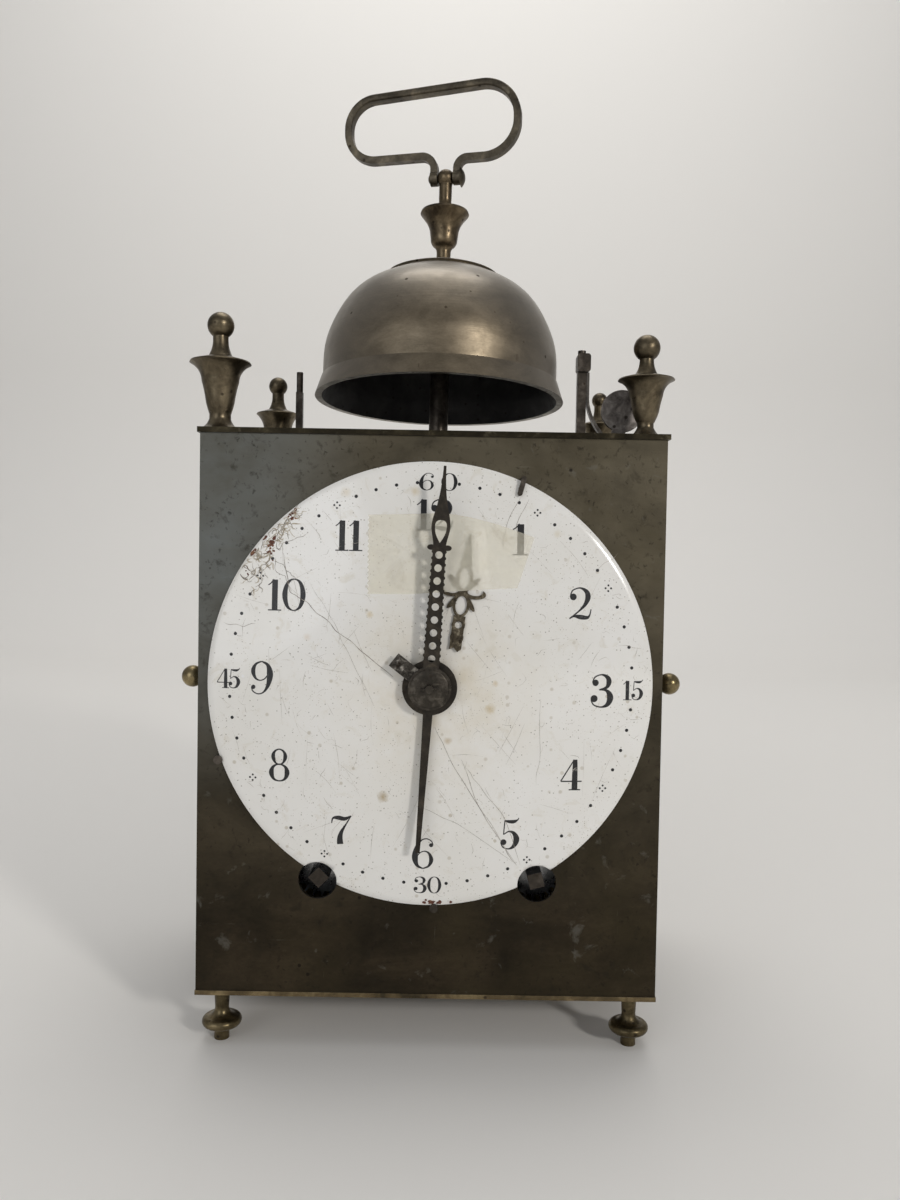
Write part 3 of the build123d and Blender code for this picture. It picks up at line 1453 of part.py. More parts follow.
def make_minute_hand():
    """The pierced minute hand with its disc."""
    half = minute_outline()
    right = Spline(*[(width, reach) for reach, width in half])
    left = Spline(*[(-width, reach) for reach, width in half])
    ends = [
        Line((half[-1][1], half[-1][0]), (-half[-1][1], half[-1][0])),
        Line((half[0][1], half[0][0]), (-half[0][1], half[0][0])),
    ]
    spade = make_face([right, left] + ends)
    stem_points = [
        (minute_stem_root / 2, 0), (minute_stem_end / 2, half[0][0] + 0.3),
        (-minute_stem_end / 2, half[0][0] + 0.3), (-minute_stem_root / 2, 0),
    ]
    shape = spade + make_face(Polyline(*stem_points, close=True)) + Circle(minute_disc_radius)
    pitch = (minute_hole_last - minute_hole_first) / (minute_hole_count - 1)
    holes = [minute_hole_first + pitch * index for index in range(minute_hole_count)]
    for reach in holes:
        share = reach / half[0][0]
        edge = (minute_stem_root + (minute_stem_end - minute_stem_root) * share) / 2
        for side in (-1, 1):
            for step in (-0.25, 0.25):
                shape += Pos(side * (edge - 0.2), reach + step * pitch) * Circle(minute_bead_radius)
    lobe_reach = half[0][0] + 0.4
    for side in (-1, 1):
        shape += Pos(side * 2.2, lobe_reach) * Ellipse(1.1, 0.75)
    for reach in holes:
        shape -= Pos(0, reach) * Circle(minute_hole_radius)
    drop_low, drop_high = half[1][0] - 0.1, half[3][0] - 1.6
    drop_wide = 1.55
    drop_middle = drop_low + (drop_high - drop_low) * 0.62
    drop = make_face(
        [
            Spline((0, drop_low), (drop_wide, drop_middle), (0, drop_high), tangents=((0.6, 1), (-1, 0))),
            Spline((0, drop_low), (-drop_wide, drop_middle), (0, drop_high), tangents=((-0.6, 1), (1, 0))),
        ]
    )
    shape -= drop
    shape = Rot(0, 0, -minute_hand_clock_angle) * shape - Circle(centre_arbor_radius + fit_gap)
    near = -(minute_hand_stand + minute_hand_thickness)
    return slab(shape, dial_centre, near, -minute_hand_stand)


def cross_pin(radius, length):
    y = front_y - cross_pin_stand
    turn = Rot(0, cross_pin_clock_angle, 0)
    return Pos(0, y, dial_centre_height) * turn * Cylinder(radius, length)


def petal(side, angle):
    """A leaf that grows from the crossing, at an angle from the hand's own line."""
    leaf = Pos(0, petal_length / 2) * Ellipse(petal_half_width, petal_length / 2)
    return Rot(0, 0, -side * angle) * leaf


def loose_hand_shape():
    """The broken end of the hour hand, lying along +Y from its broken edge to its tip."""
    length = loose_hand_length
    half = loose_hand_stem / 2
    low, crossing, high = length * 0.394, length * 0.504, length * 0.625
    stem_top = low - lower_loop[1] + loop_band / 2
    jagged = [(half, stem_top), (half, 0.9), (half * 0.4, 0.0), (-half * 0.3, 1.1), (-half, 0.5)]
    shape = make_face(Polyline(*jagged, (-half, stem_top), close=True))
    for reach in (length * 0.12, length * 0.227):
        shape += Pos(0, reach) * Circle(loose_ring_radius)
    shape += Pos(0, low) * Ellipse(*lower_loop)
    shape += Pos(0, high) * Ellipse(*upper_loop)
    shape += Pos(0, crossing) * Circle(half * 0.8)
    for side in (-1, 1):
        for angle in petal_angles:
            shape += Pos(0, crossing) * petal(side, angle)
        curl_middle = curl_reach / 2
        curl = Pos(side * curl_middle, 0) * Ellipse(curl_middle, curl_half_height)
        hollow = Ellipse(curl_middle * 0.72, curl_half_height * 0.87)
        curl -= Pos(side * curl_middle, curl_half_height / 2) * hollow
        shape += Pos(0, crossing) * curl
    base = length * 0.73
    pointer = [
        (-pointer_half_width, base), (pointer_half_width, base), (pointer_tip, length),
        (-pointer_tip, length),
    ]
    shape += make_face(Polyline(*pointer, close=True))
    for middle, loop in ((low, lower_loop), (high, upper_loop)):
        shape -= Pos(0, middle) * Ellipse(loop[0] - loop_band, loop[1] - loop_band)
    return shape - Pos(0, length * 0.227) * Circle(loose_ring_hole)


def make_loose_hand():
    """It lies on the dome, square to the dial's slope at its own middle."""
    centre_x = loose_hand_x + math.sin(math.radians(loose_hand_lean)) * loose_hand_length / 2
    centre_z = loose_hand_rise + math.cos(math.radians(loose_hand_lean)) * loose_hand_length / 2
    radius = math.hypot(centre_x, centre_z)
    slope = 2 * dial_dome * radius / dial_radius ** 2
    out = (centre_x / radius * slope, -1, centre_z / radius * slope)
    up = (math.sin(math.radians(loose_hand_lean)), 0, math.cos(math.radians(loose_hand_lean)))
    side_dir = Vector(*up).cross(Vector(*out))
    place = Plane(
        origin=(centre_x, front_y + dome_depth(radius, fit_gap), dial_centre_height + centre_z),
        x_dir=side_dir,
        z_dir=out,
    )
    shape = Pos(0, -loose_hand_length / 2) * loose_hand_shape()
    return extrude(place * shape, amount=loose_hand_thickness)


def dome_bowl(lift):
    """A solid behind a surface that stands off the dial's front by lift."""
    reach = dial_radius * 0.9
    middle = reach / 2
    arc = ThreePointArc(
        (0, dome_depth(0, lift)), (middle, dome_depth(middle, lift)), (reach, dome_depth(reach, lift))
    )
    edges = [arc, Line((reach, dome_depth(reach, lift)), (reach, 0)), Line((reach, 0), (0, 0))]
    edges.append(Line((0, 0), (0, dome_depth(0, lift))))
    return Pos(0, front_y, dial_centre_height) * revolve(profile_face(edges), axis=Axis.Y)


def hand_cover(margin):
    """A prism around the taped half of the loose hand, wider than it by a margin."""
    length = loose_hand_length
    wide, slim, point = tape_tent_width / 2 + margin, tape_tent_width / 4.5 + margin, 0.8 + margin
    low, high, taper, end = length * 0.3, length * 0.57, length * 0.77, length + 0.4 + margin
    side = [(wide, low), (wide, high), (slim, taper), (point, end)]
    outline = side + [(-x, reach) for x, reach in reversed(side)]
    face = make_face(Polyline(*outline, close=True))
    placed = Pos(loose_hand_x, loose_hand_rise) * Rot(0, 0, -loose_hand_lean) * face
    return slab(placed, dial_centre, -front_reach, 0)


def make_tape():
    """The tape lies on the dial, and is lifted where it passes over the loose hand."""
    outline = make_face(Polyline(*tape_corners, close=True))
    prism = slab(outline, dial_centre, -front_reach, 0)
    low, high = fit_gap + tape_thickness, tape_lift + tape_thickness
    cover = hand_cover(tape_thickness) & dome_bowl(high)
    skin = prism & (dome_bowl(low) + cover)
    return skin - dome_bowl(fit_gap) - (hand_cover(0) & dome_bowl(tape_lift))


def clock_parts():
    """Every piece of the clock by its name."""
    parts = {
        "base_plate": make_base_plate(),
        "top_plate": make_top_plate(),
        "corner_posts": make_corner_posts(),
        "front_panel": make_front_panel(),
        "dial": make_dial(),
        "dial_pins": make_dial_pins(),
        "bell_post": make_bell_post(),
        "bell": make_bell(),
        "bell_finial": make_bell_finial(),
        "handle": make_handle(),
        "handle_pin": make_handle_pin(),
        "left_door": make_side_door(-1),
        "left_door_knob": make_knob(side_knob_place(-1), (-1, 0, 0)),
        "right_door": make_side_door(1),
        "right_door_knob": make_knob(side_knob_place(1), (1, 0, 0)),
        "rear_door": make_rear_door(),
        "rear_door_knob": make_knob(rear_knob_place(), (0, 1, 0)),
        "door_hinge_pins": make_hinge_pins(),
        "strike_hammer_arm": make_strike_arm(),
        "strike_hammer_head": make_strike_head(),
        "hammer_blade_spring": make_blade_spring(),
        "alarm_hammer_arm": make_alarm_arm(),
        "repeat_lever": make_repeat_lever(),
        "movement_front_plate": make_front_plate(),
        "movement_back_plate": make_back_plate(),
        "movement_pillars": make_pillars(),
        "pendulum_cock": make_cock(),
        "going_barrel": make_barrel(going_barrel_at, intermediate_at),
        "going_winding_arbor": make_winding_arbor(going_barrel_at, left_square_turn),
        "going_click": make_click(going_click_at, going_barrel_at),
        "intermediate_wheel": make_intermediate(),
        "centre_wheel": make_centre_wheel(),
        "third_wheel": make_third_wheel(),
        "escape_wheel": make_escape_wheel(),
        "anchor": make_anchor(),
        "pendulum_rod": make_pendulum_rod(),
        "pendulum_bob": make_pendulum_bob(),
        "strike_barrel": make_barrel(strike_barrel_at, strike_second_at),
        "strike_winding_arbor": make_winding_arbor(strike_barrel_at, right_square_turn),
        "strike_click": make_click(strike_click_at, strike_barrel_at),
        "strike_second_wheel": make_strike_second(),
        "pin_wheel": make_pin_wheel(),
        "locking_wheel": make_locking_wheel(),
        "fly": make_fly(),
        "cannon_pinion": make_cannon_pinion(),
        "minute_wheel": make_minute_wheel(),
        "hour_wheel": make_hour_wheel(),
        "minute_hand": make_minute_hand(),
        "hour_hand_stub": make_hour_stub(),
        "alarm_hand": make_alarm_hand(),
        "loose_hour_hand": make_loose_hand(),
        "tape": make_tape(),
    }
    for name, side, end in corner_signs():
        parts["foot_" + name] = make_foot(*foot_place(side, end))
        parts["finial_" + name] = make_finial(*finial_place(side, end), *finial_sizes(side, end))
    return parts


os.makedirs("parts", exist_ok=True)
for node, shape in clock_parts().items():
    export_step(shape, "parts/" + node + ".step")
print("front face at y", round(front_y, 3), "bell centre at y", round(middle_y, 3))
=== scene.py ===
import bpy, bmesh, json, math, random
from mathutils import Matrix, Vector


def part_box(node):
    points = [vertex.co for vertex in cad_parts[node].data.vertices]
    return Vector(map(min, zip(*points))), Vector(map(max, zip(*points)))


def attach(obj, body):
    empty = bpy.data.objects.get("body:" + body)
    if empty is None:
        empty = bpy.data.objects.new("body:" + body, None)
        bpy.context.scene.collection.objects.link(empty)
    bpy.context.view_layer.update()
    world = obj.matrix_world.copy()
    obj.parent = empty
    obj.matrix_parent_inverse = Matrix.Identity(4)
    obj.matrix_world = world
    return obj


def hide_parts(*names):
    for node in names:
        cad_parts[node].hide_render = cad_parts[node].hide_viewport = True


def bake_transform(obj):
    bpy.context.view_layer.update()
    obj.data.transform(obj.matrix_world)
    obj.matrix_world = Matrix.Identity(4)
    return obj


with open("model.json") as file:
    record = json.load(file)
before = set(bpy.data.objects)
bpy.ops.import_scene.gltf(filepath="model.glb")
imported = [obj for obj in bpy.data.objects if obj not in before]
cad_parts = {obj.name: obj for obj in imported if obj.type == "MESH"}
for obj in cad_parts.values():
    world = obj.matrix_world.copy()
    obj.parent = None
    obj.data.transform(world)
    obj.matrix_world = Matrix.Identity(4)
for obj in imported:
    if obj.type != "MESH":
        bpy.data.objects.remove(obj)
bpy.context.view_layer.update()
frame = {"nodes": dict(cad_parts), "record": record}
nodes = frame["nodes"]
behaviour = frame["record"]["behaviour"]
bodyOf = {node: body for body, members in behaviour["bodies"].items() for node in members}
mm = 0.001
collection = bpy.context.scene.collection
print("stage: frame loaded")


# Camera, as the photograph was taken
cameraSettings = {
    "place": (4.62, -269.75, 136.33),   # mm; the second one counts from the front panel
    "lookDown": 1.81,
    "turnLeft": -0.11,
    "roll": 0.96,
    "focal": 966.8,                     # in pixels of the picture
    "pictureHeight": 1200,
    "sensor": 36,                       # mm
}
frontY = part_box("front_panel")[0].y


def added(name, data):
    made = bpy.data.objects.new(name, data)
    collection.objects.link(made)
    return made


camera = added("camera", bpy.data.cameras.new("camera"))
x, back, z = cameraSettings["place"]
camera.matrix_world = (
    Matrix.Translation((x * mm, frontY + back * mm, z * mm))
    @ Matrix.Rotation(math.radians(cameraSettings["turnLeft"]), 4, "Z")
    @ Matrix.Rotation(math.radians(90 - cameraSettings["lookDown"]), 4, "X")
    @ Matrix.Rotation(math.radians(cameraSettings["roll"]), 4, "Z")
)
camera.data.lens = cameraSettings["focal"] * cameraSettings["sensor"] / cameraSettings["pictureHeight"]
camera.data.sensor_width = cameraSettings["sensor"]
camera.data.clip_start = 0.01
bpy.context.scene.camera = camera
bpy.context.scene.view_settings.view_transform = "Standard"


# Small helpers for meshes
# mergeWithin in metres, the angles in degrees
wornShape = {"mergeWithin": 2e-6, "flatWithin": 1.5, "sharpFrom": 40, "segments": 2}


def linkMesh(name, bm, material, smooth=35):
    # Makes an object of bm, smooth except where faces meet at more than smooth degrees.
    for face in bm.faces:
        face.smooth = smooth > 0
    for edge in bm.edges:
        if len(edge.link_faces) == 2 and edge.calc_face_angle(0) > math.radians(smooth):
            edge.smooth = False
    mesh = bpy.data.meshes.new(name)
    bm.to_mesh(mesh)
    bm.free()
    mesh.materials.append(material)
    return added(name, mesh)


def applied(piece):
    # The piece with its modifiers made part of the mesh.
    bpy.context.view_layer.update()
    made = bpy.data.meshes.new_from_object(piece.evaluated_get(bpy.context.evaluated_depsgraph_get()))
    piece.modifiers.clear()
    piece.data = made
    return piece


def settle(piece, node):
    # The piece stands for a CAD node and rides with its body.
    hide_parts(node)
    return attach(piece, bodyOf[node])


def wornCopy(node, material, name, edge=0.0, smooth=32):
    # A merged, smoothly shaded copy of a CAD node, with its edges worn round by edge in mm.
    bm = bmesh.new()
    bm.from_mesh(nodes[node].data)
    bmesh.ops.remove_doubles(bm, verts=bm.verts, dist=wornShape["mergeWithin"])
    if edge:
        flat = math.radians(wornShape["flatWithin"])
        bmesh.ops.dissolve_limit(bm, angle_limit=flat, verts=bm.verts, edges=bm.edges)
    piece = linkMesh(name, bm, material, smooth)
    if edge:
        bevel = piece.modifiers.new("wornEdge", "BEVEL")
        bevel.width = edge * mm
        bevel.segments = wornShape["segments"]
        bevel.limit_method = "ANGLE"
        bevel.angle_limit = math.radians(wornShape["sharpFrom"])
        bevel.harden_normals = True
        applied(piece)
    return piece


def dress(node, material, name, edge=0.0):
    return settle(wornCopy(node, material, name, edge), node)


def throughPoints(points, steps=8, closed=False):
    # A smooth line through the points; a point may carry further numbers, such as a width.
    count = len(points)
    line = []
    for i in range(count if closed else count - 1):
        if closed:
            a, b, c, d = (points[(i + k) % count] for k in (-1, 0, 1, 2))
        else:
            a, b, c, d = (points[min(max(i + k, 0), count - 1)] for k in (-1, 0, 1, 2))
        for s in range(steps):
            t = s / steps
            line.append(tuple(
                0.5 * (2 * q + (r - p) * t + (2 * p - 5 * q + 4 * r - w) * t * t
                       + (3 * q - p - 3 * r + w) * t ** 3)
                for p, q, r, w in zip(a, b, c, d)
            ))
    if not closed:
        line.append(tuple(points[-1]))
    return line


# Materials
def feed(tree, node, inputs):
    # Each input takes a number, a vector, a colour or another node's output.
    for name, value in inputs.items():
        if isinstance(value, bpy.types.NodeSocket):
            tree.links.new(value, node.inputs[name])
        else:
            node.inputs[name].default_value = value


def addNode(tree, kind, inputs):
    node = tree.nodes.new(kind)
    feed(tree, node, inputs)
    return node


def startMaterial(name, color, metallic, roughness):
    material = bpy.data.materials.new(name)
    material.use_nodes = True
    tree = material.node_tree
    shader = tree.nodes["Principled BSDF"]
    feed(tree, shader, {"Base Color": (*color, 1), "Metallic": metallic, "Roughness": roughness})
    return material, tree, shader


def objectPoint(tree, stretch=(1, 1, 1)):
    source = tree.nodes.new("ShaderNodeTexCoord")
    mapping = addNode(tree, "ShaderNodeMapping", {"Scale": stretch, "Vector": source.outputs["Object"]})
    return mapping.outputs["Vector"]


def noiseValue(tree, scale, detail, rough=0.55, stretch=(1, 1, 1), warp=0.0):
    texture = addNode(tree, "ShaderNodeTexNoise", {
        "Scale": scale, "Detail": detail, "Roughness": rough, "Distortion": warp,
        "Vector": objectPoint(tree, stretch)})
    return texture.outputs["Fac"]


def mapValue(tree, value, low, high, toLow=0.0, toHigh=1.0):
    change = addNode(tree, "ShaderNodeMapRange", {
        "Value": value, "From Min": low, "From Max": high, "To Min": toLow, "To Max": toHigh})
    return change.outputs["Result"]


def mathValue(tree, kind, first, second):
    work = tree.nodes.new("ShaderNodeMath")
    work.operation = kind
    feed(tree, work, {0: first, 1: second})
    return work.outputs["Value"]


def times(tree, first, second):
    return mathValue(tree, "MULTIPLY", first, second)


def spotValue(tree, scale, size, share, stretch=(1, 1, 1)):
    # Round specks: 1 inside a speck, 0 outside; share is the part of cells that hold one.
    cells = addNode(tree, "ShaderNodeTexVoronoi", {"Scale": scale, "Vector": objectPoint(tree, stretch)})
    split = addNode(tree, "ShaderNodeSeparateColor", {"Color": cells.outputs["Color"]})
    inside = mapValue(tree, cells.outputs["Distance"], size, size * 0.55, 0, 1)
    return times(tree, inside, mathValue(tree, "LESS_THAN", split.outputs["Red"], share))


def rampColor(tree, value, stops):
    ramp = addNode(tree, "ShaderNodeValToRGB", {"Fac": value})
    for element, (place, color) in zip(ramp.color_ramp.elements, (stops[0], stops[-1])):
        element.position = place
        element.color = (*color, 1)
    for place, color in stops[1:-1]:
        ramp.color_ramp.elements.new(place).color = (*color, 1)
    return ramp.outputs["Color"]


def mixColor(tree, share, first, second):
    mix = tree.nodes.new("ShaderNodeMix")
    mix.data_type = "RGBA"
    first, second = ((*color, 1) if isinstance(color, tuple) else color for color in (first, second))
    feed(tree, mix, {0: share, 6: first, 7: second})
    return mix.outputs[2]


def distanceTo(tree, place):
    far = tree.nodes.new("ShaderNodeVectorMath")
    far.operation = "DISTANCE"
    feed(tree, far, {0: objectPoint(tree), 1: place})
    return far.outputs["Value"]


def addBump(tree, shader, heights):
    # Each height is (value, depth in mm); the bumps are laid one over the other.
    last = {}
    for value, depth in heights:
        bump = addNode(tree, "ShaderNodeBump", {
            "Strength": 1, "Distance": depth * mm, "Height": value, **last})
        last = {"Normal": bump.outputs["Normal"]}
    feed(tree, shader, last)


def placeValue(tree, axis, low, high):
    # 0 at the place low and 1 at the place high along an axis, in mm.
    split = addNode(tree, "ShaderNodeSeparateXYZ", {"Vector": objectPoint(tree)})
    return mapValue(tree, split.outputs[axis], low * mm, high * mm)


def oldMetal(name, tones, roughness, cloud, grain, stretch=(1, 1, 1), pits=0.25,
             pitColor=(0.03, 0.022, 0.015), bump=0.02, metallic=0.9, turning=0.0,
             tints=(), grazingSheen=None, flecks=()):
    # Old metal: clouds of patina in dark, middle and bright tones, fine grain, dark pits and, if turned,
    # fine rings. A tint is (places, colour, share), where a place is (axis, low, high) in mm. Flecks are
    # (scale, stretch, low, high, colour, share).
    material, tree, shader = startMaterial(name, tones[1], metallic, roughness[0])
    clouds = noiseValue(tree, cloud, 6, 0.6, stretch, warp=0.6)
    fine = noiseValue(tree, grain, 3, 0.6, stretch)
    mixed = mathValue(tree, "ADD", times(tree, clouds, 0.8), times(tree, fine, 0.2))
    color = rampColor(tree, mixed, list(zip((0.34, 0.52, 0.70), tones)))
    for places, tintColor, share in tints:
        amount = times(tree, clouds, share)
        for axis, low, high in places:
            amount = times(tree, amount, placeValue(tree, axis, low, high))
        color = mixColor(tree, amount, color, tintColor)
    for scale, drawn, low, high, fleckColor, share in flecks:
        amount = mapValue(tree, noiseValue(tree, scale, 5, 0.62, drawn, warp=0.4), low, high, 0, share)
        color = mixColor(tree, amount, color, fleckColor)
    # A painted sheen: paler where the surface turns away from the camera.
    if grazingSheen:
        slant = addNode(tree, "ShaderNodeLayerWeight", {"Blend": 0.35})
        color = mixColor(tree, mapValue(tree, slant.outputs["Facing"], 0.12, 0.75), color, grazingSheen)
    spots = spotValue(tree, 420, 0.26, pits)
    color = mixColor(tree, times(tree, spots, 0.8), color, pitColor)
    rough = mapValue(tree, noiseValue(tree, cloud * 2.3, 5, 0.6), 0.3, 0.7, roughness[0], roughness[1])
    rough = mathValue(tree, "ADD", rough, times(tree, spots, 0.2))
    feed(tree, shader, {"Base Color": color, "Roughness": rough})
    heights = [(noiseValue(tree, 170, 3), bump * 3), (fine, bump), (times(tree, spots, -1), bump * 2)]
    if turning:
        heights.append((noiseValue(tree, 2600, 1, 0.5, (0.004, 0.004, 1)), turning))
    addBump(tree, shader, heights)
    return material


def glossyEnamel(name, color):
    # White enamel with age: stains round the middle, specks, and a faint wave.
    material, tree, shader = startMaterial(name, color, 0, 0.16)
    tone = mixColor(tree, mapValue(tree, noiseValue(tree, 28, 5), 0.35, 0.7), color, (0.77, 0.755, 0.71))
    # Grime round the hub, in mm from it
    grime = mapValue(tree, distanceTo(tree, (2 * mm, dialY(0), dialZ - 2 * mm)), 34 * mm, 8 * mm)
    grime = times(tree, grime, mapValue(tree, noiseValue(tree, 120, 6, 0.65), 0.3, 0.65, 0.1, 1.0))
    tone = mixColor(tree, times(tree, grime, 0.6), tone, (0.66, 0.59, 0.45))
    # Stains with ragged edges
    for place, size, stain, share in enamelStains:
        near = distanceTo(tree, onDial(*place, 0))
        wobble = times(tree, noiseValue(tree, 700, 4, 0.7), size * 0.9 * mm)
        reach = mathValue(tree, "ADD", near, wobble)
        spot = mapValue(tree, reach, size * 1.25 * mm, size * 0.55 * mm)
        tone = mixColor(tree, times(tree, spot, share), tone, stain)
    # A brownish veil, then dirt, specks and dust, each finer than the one before
    veil = mapValue(tree, noiseValue(tree, 210, 6, 0.7, warp=0.8), 0.56, 0.70, 0, 0.55)
    tone = mixColor(tree, veil, tone, (0.66, 0.62, 0.53))
    dirt = times(tree, spotValue(tree, 330, 0.22, 0.20, (1, 0.02, 1)), noiseValue(tree, 90, 3))
    tone = mixColor(tree, times(tree, dirt, 0.9), tone, (0.42, 0.36, 0.26))
    specks = spotValue(tree, 900, 0.19, 0.40, (1, 0.02, 1))
    tone = mixColor(tree, times(tree, specks, 0.72), tone, (0.22, 0.19, 0.15))
    dust = spotValue(tree, 1700, 0.24, 0.40, (1, 0.02, 1))
    patches = mapValue(tree, noiseValue(tree, 70, 3), 0.42, 0.62)
    dust = times(tree, times(tree, dust, patches), 0.7)
    tone = mixColor(tree, dust, tone, (0.3, 0.25, 0.18))
    feed(tree, shader, {"Base Color": tone, "Coat Weight": 0.6, "Coat Roughness": 0.05})
    addBump(tree, shader, [(noiseValue(tree, 60, 3), 0.05), (noiseValue(tree, 500, 3), 0.006)])
    return material


# The dial's own geometry, which many pieces follow, in mm
dialSizes = {
    "radius": 62.0, "dome": 4.5, "thickness": 1.6, "hole": 5.0,
    "edgeFrom": 0.985, "edgeWidth": 0.015,   # shares of the radius
    "edgeDrop": 0.4, "backInset": 2,
    "around": 192, "spans": 26, "backSpans": 5,
    "keyHole": 5.5, "keySpread": 30.8, "keyHeight": 48.5,
}
lowDial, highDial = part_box("dial")
dialZ = (lowDial.z + highDial.z) / 2
enamelStains = [
    # place from the dial's centre in mm, radius in mm, colour, strength
    ((-12.5, -30.8), 2.4, (0.36, 0.26, 0.12), 0.75), ((16.6, -5.8), 2.1, (0.52, 0.40, 0.20), 0.7),
    ((5.2, -14.8), 1.6, (0.42, 0.30, 0.14), 0.6), ((-5.0, 53.5), 2.2, (0.60, 0.50, 0.32), 0.6),
    ((-16.8, 19.5), 1.5, (0.62, 0.50, 0.28), 0.7), ((-34.0, 13.0), 1.6, (0.70, 0.60, 0.48), 0.5),
    ((9.0, 3.0), 4.0, (0.62, 0.55, 0.42), 0.45), ((-8.5, -3.0), 3.2, (0.60, 0.52, 0.40), 0.4),
    ((1.0, -9.5), 3.4, (0.58, 0.50, 0.38), 0.45), ((-24.0, 53.0), 2.2, (0.62, 0.52, 0.36), 0.5),
    ((34.5, 42.5), 1.8, (0.66, 0.60, 0.46), 0.5), ((18.0, 1.2), 1.3, (0.55, 0.42, 0.22), 0.55),
]


def dialY(radius, lift=0.0):
    # Where the enamel's front lies at a radius in mm, as Y in metres.
    shape = dialSizes
    full = shape["radius"]
    edgeFall = max(0.0, (radius - full * shape["edgeFrom"]) / (full * shape["edgeWidth"]))
    depth = shape["thickness"] + shape["dome"] * (1 - (radius / full) ** 2)
    depth -= shape["edgeDrop"] * min(edgeFall, 1.0) ** 2
    return frontY - (depth + lift) * mm


def onDial(px, pz, lift=0.02):
    # A point on the enamel, px and pz in mm from the dial's centre.
    return Vector((px * mm, dialY(math.hypot(px, pz), lift), dialZ + pz * mm))


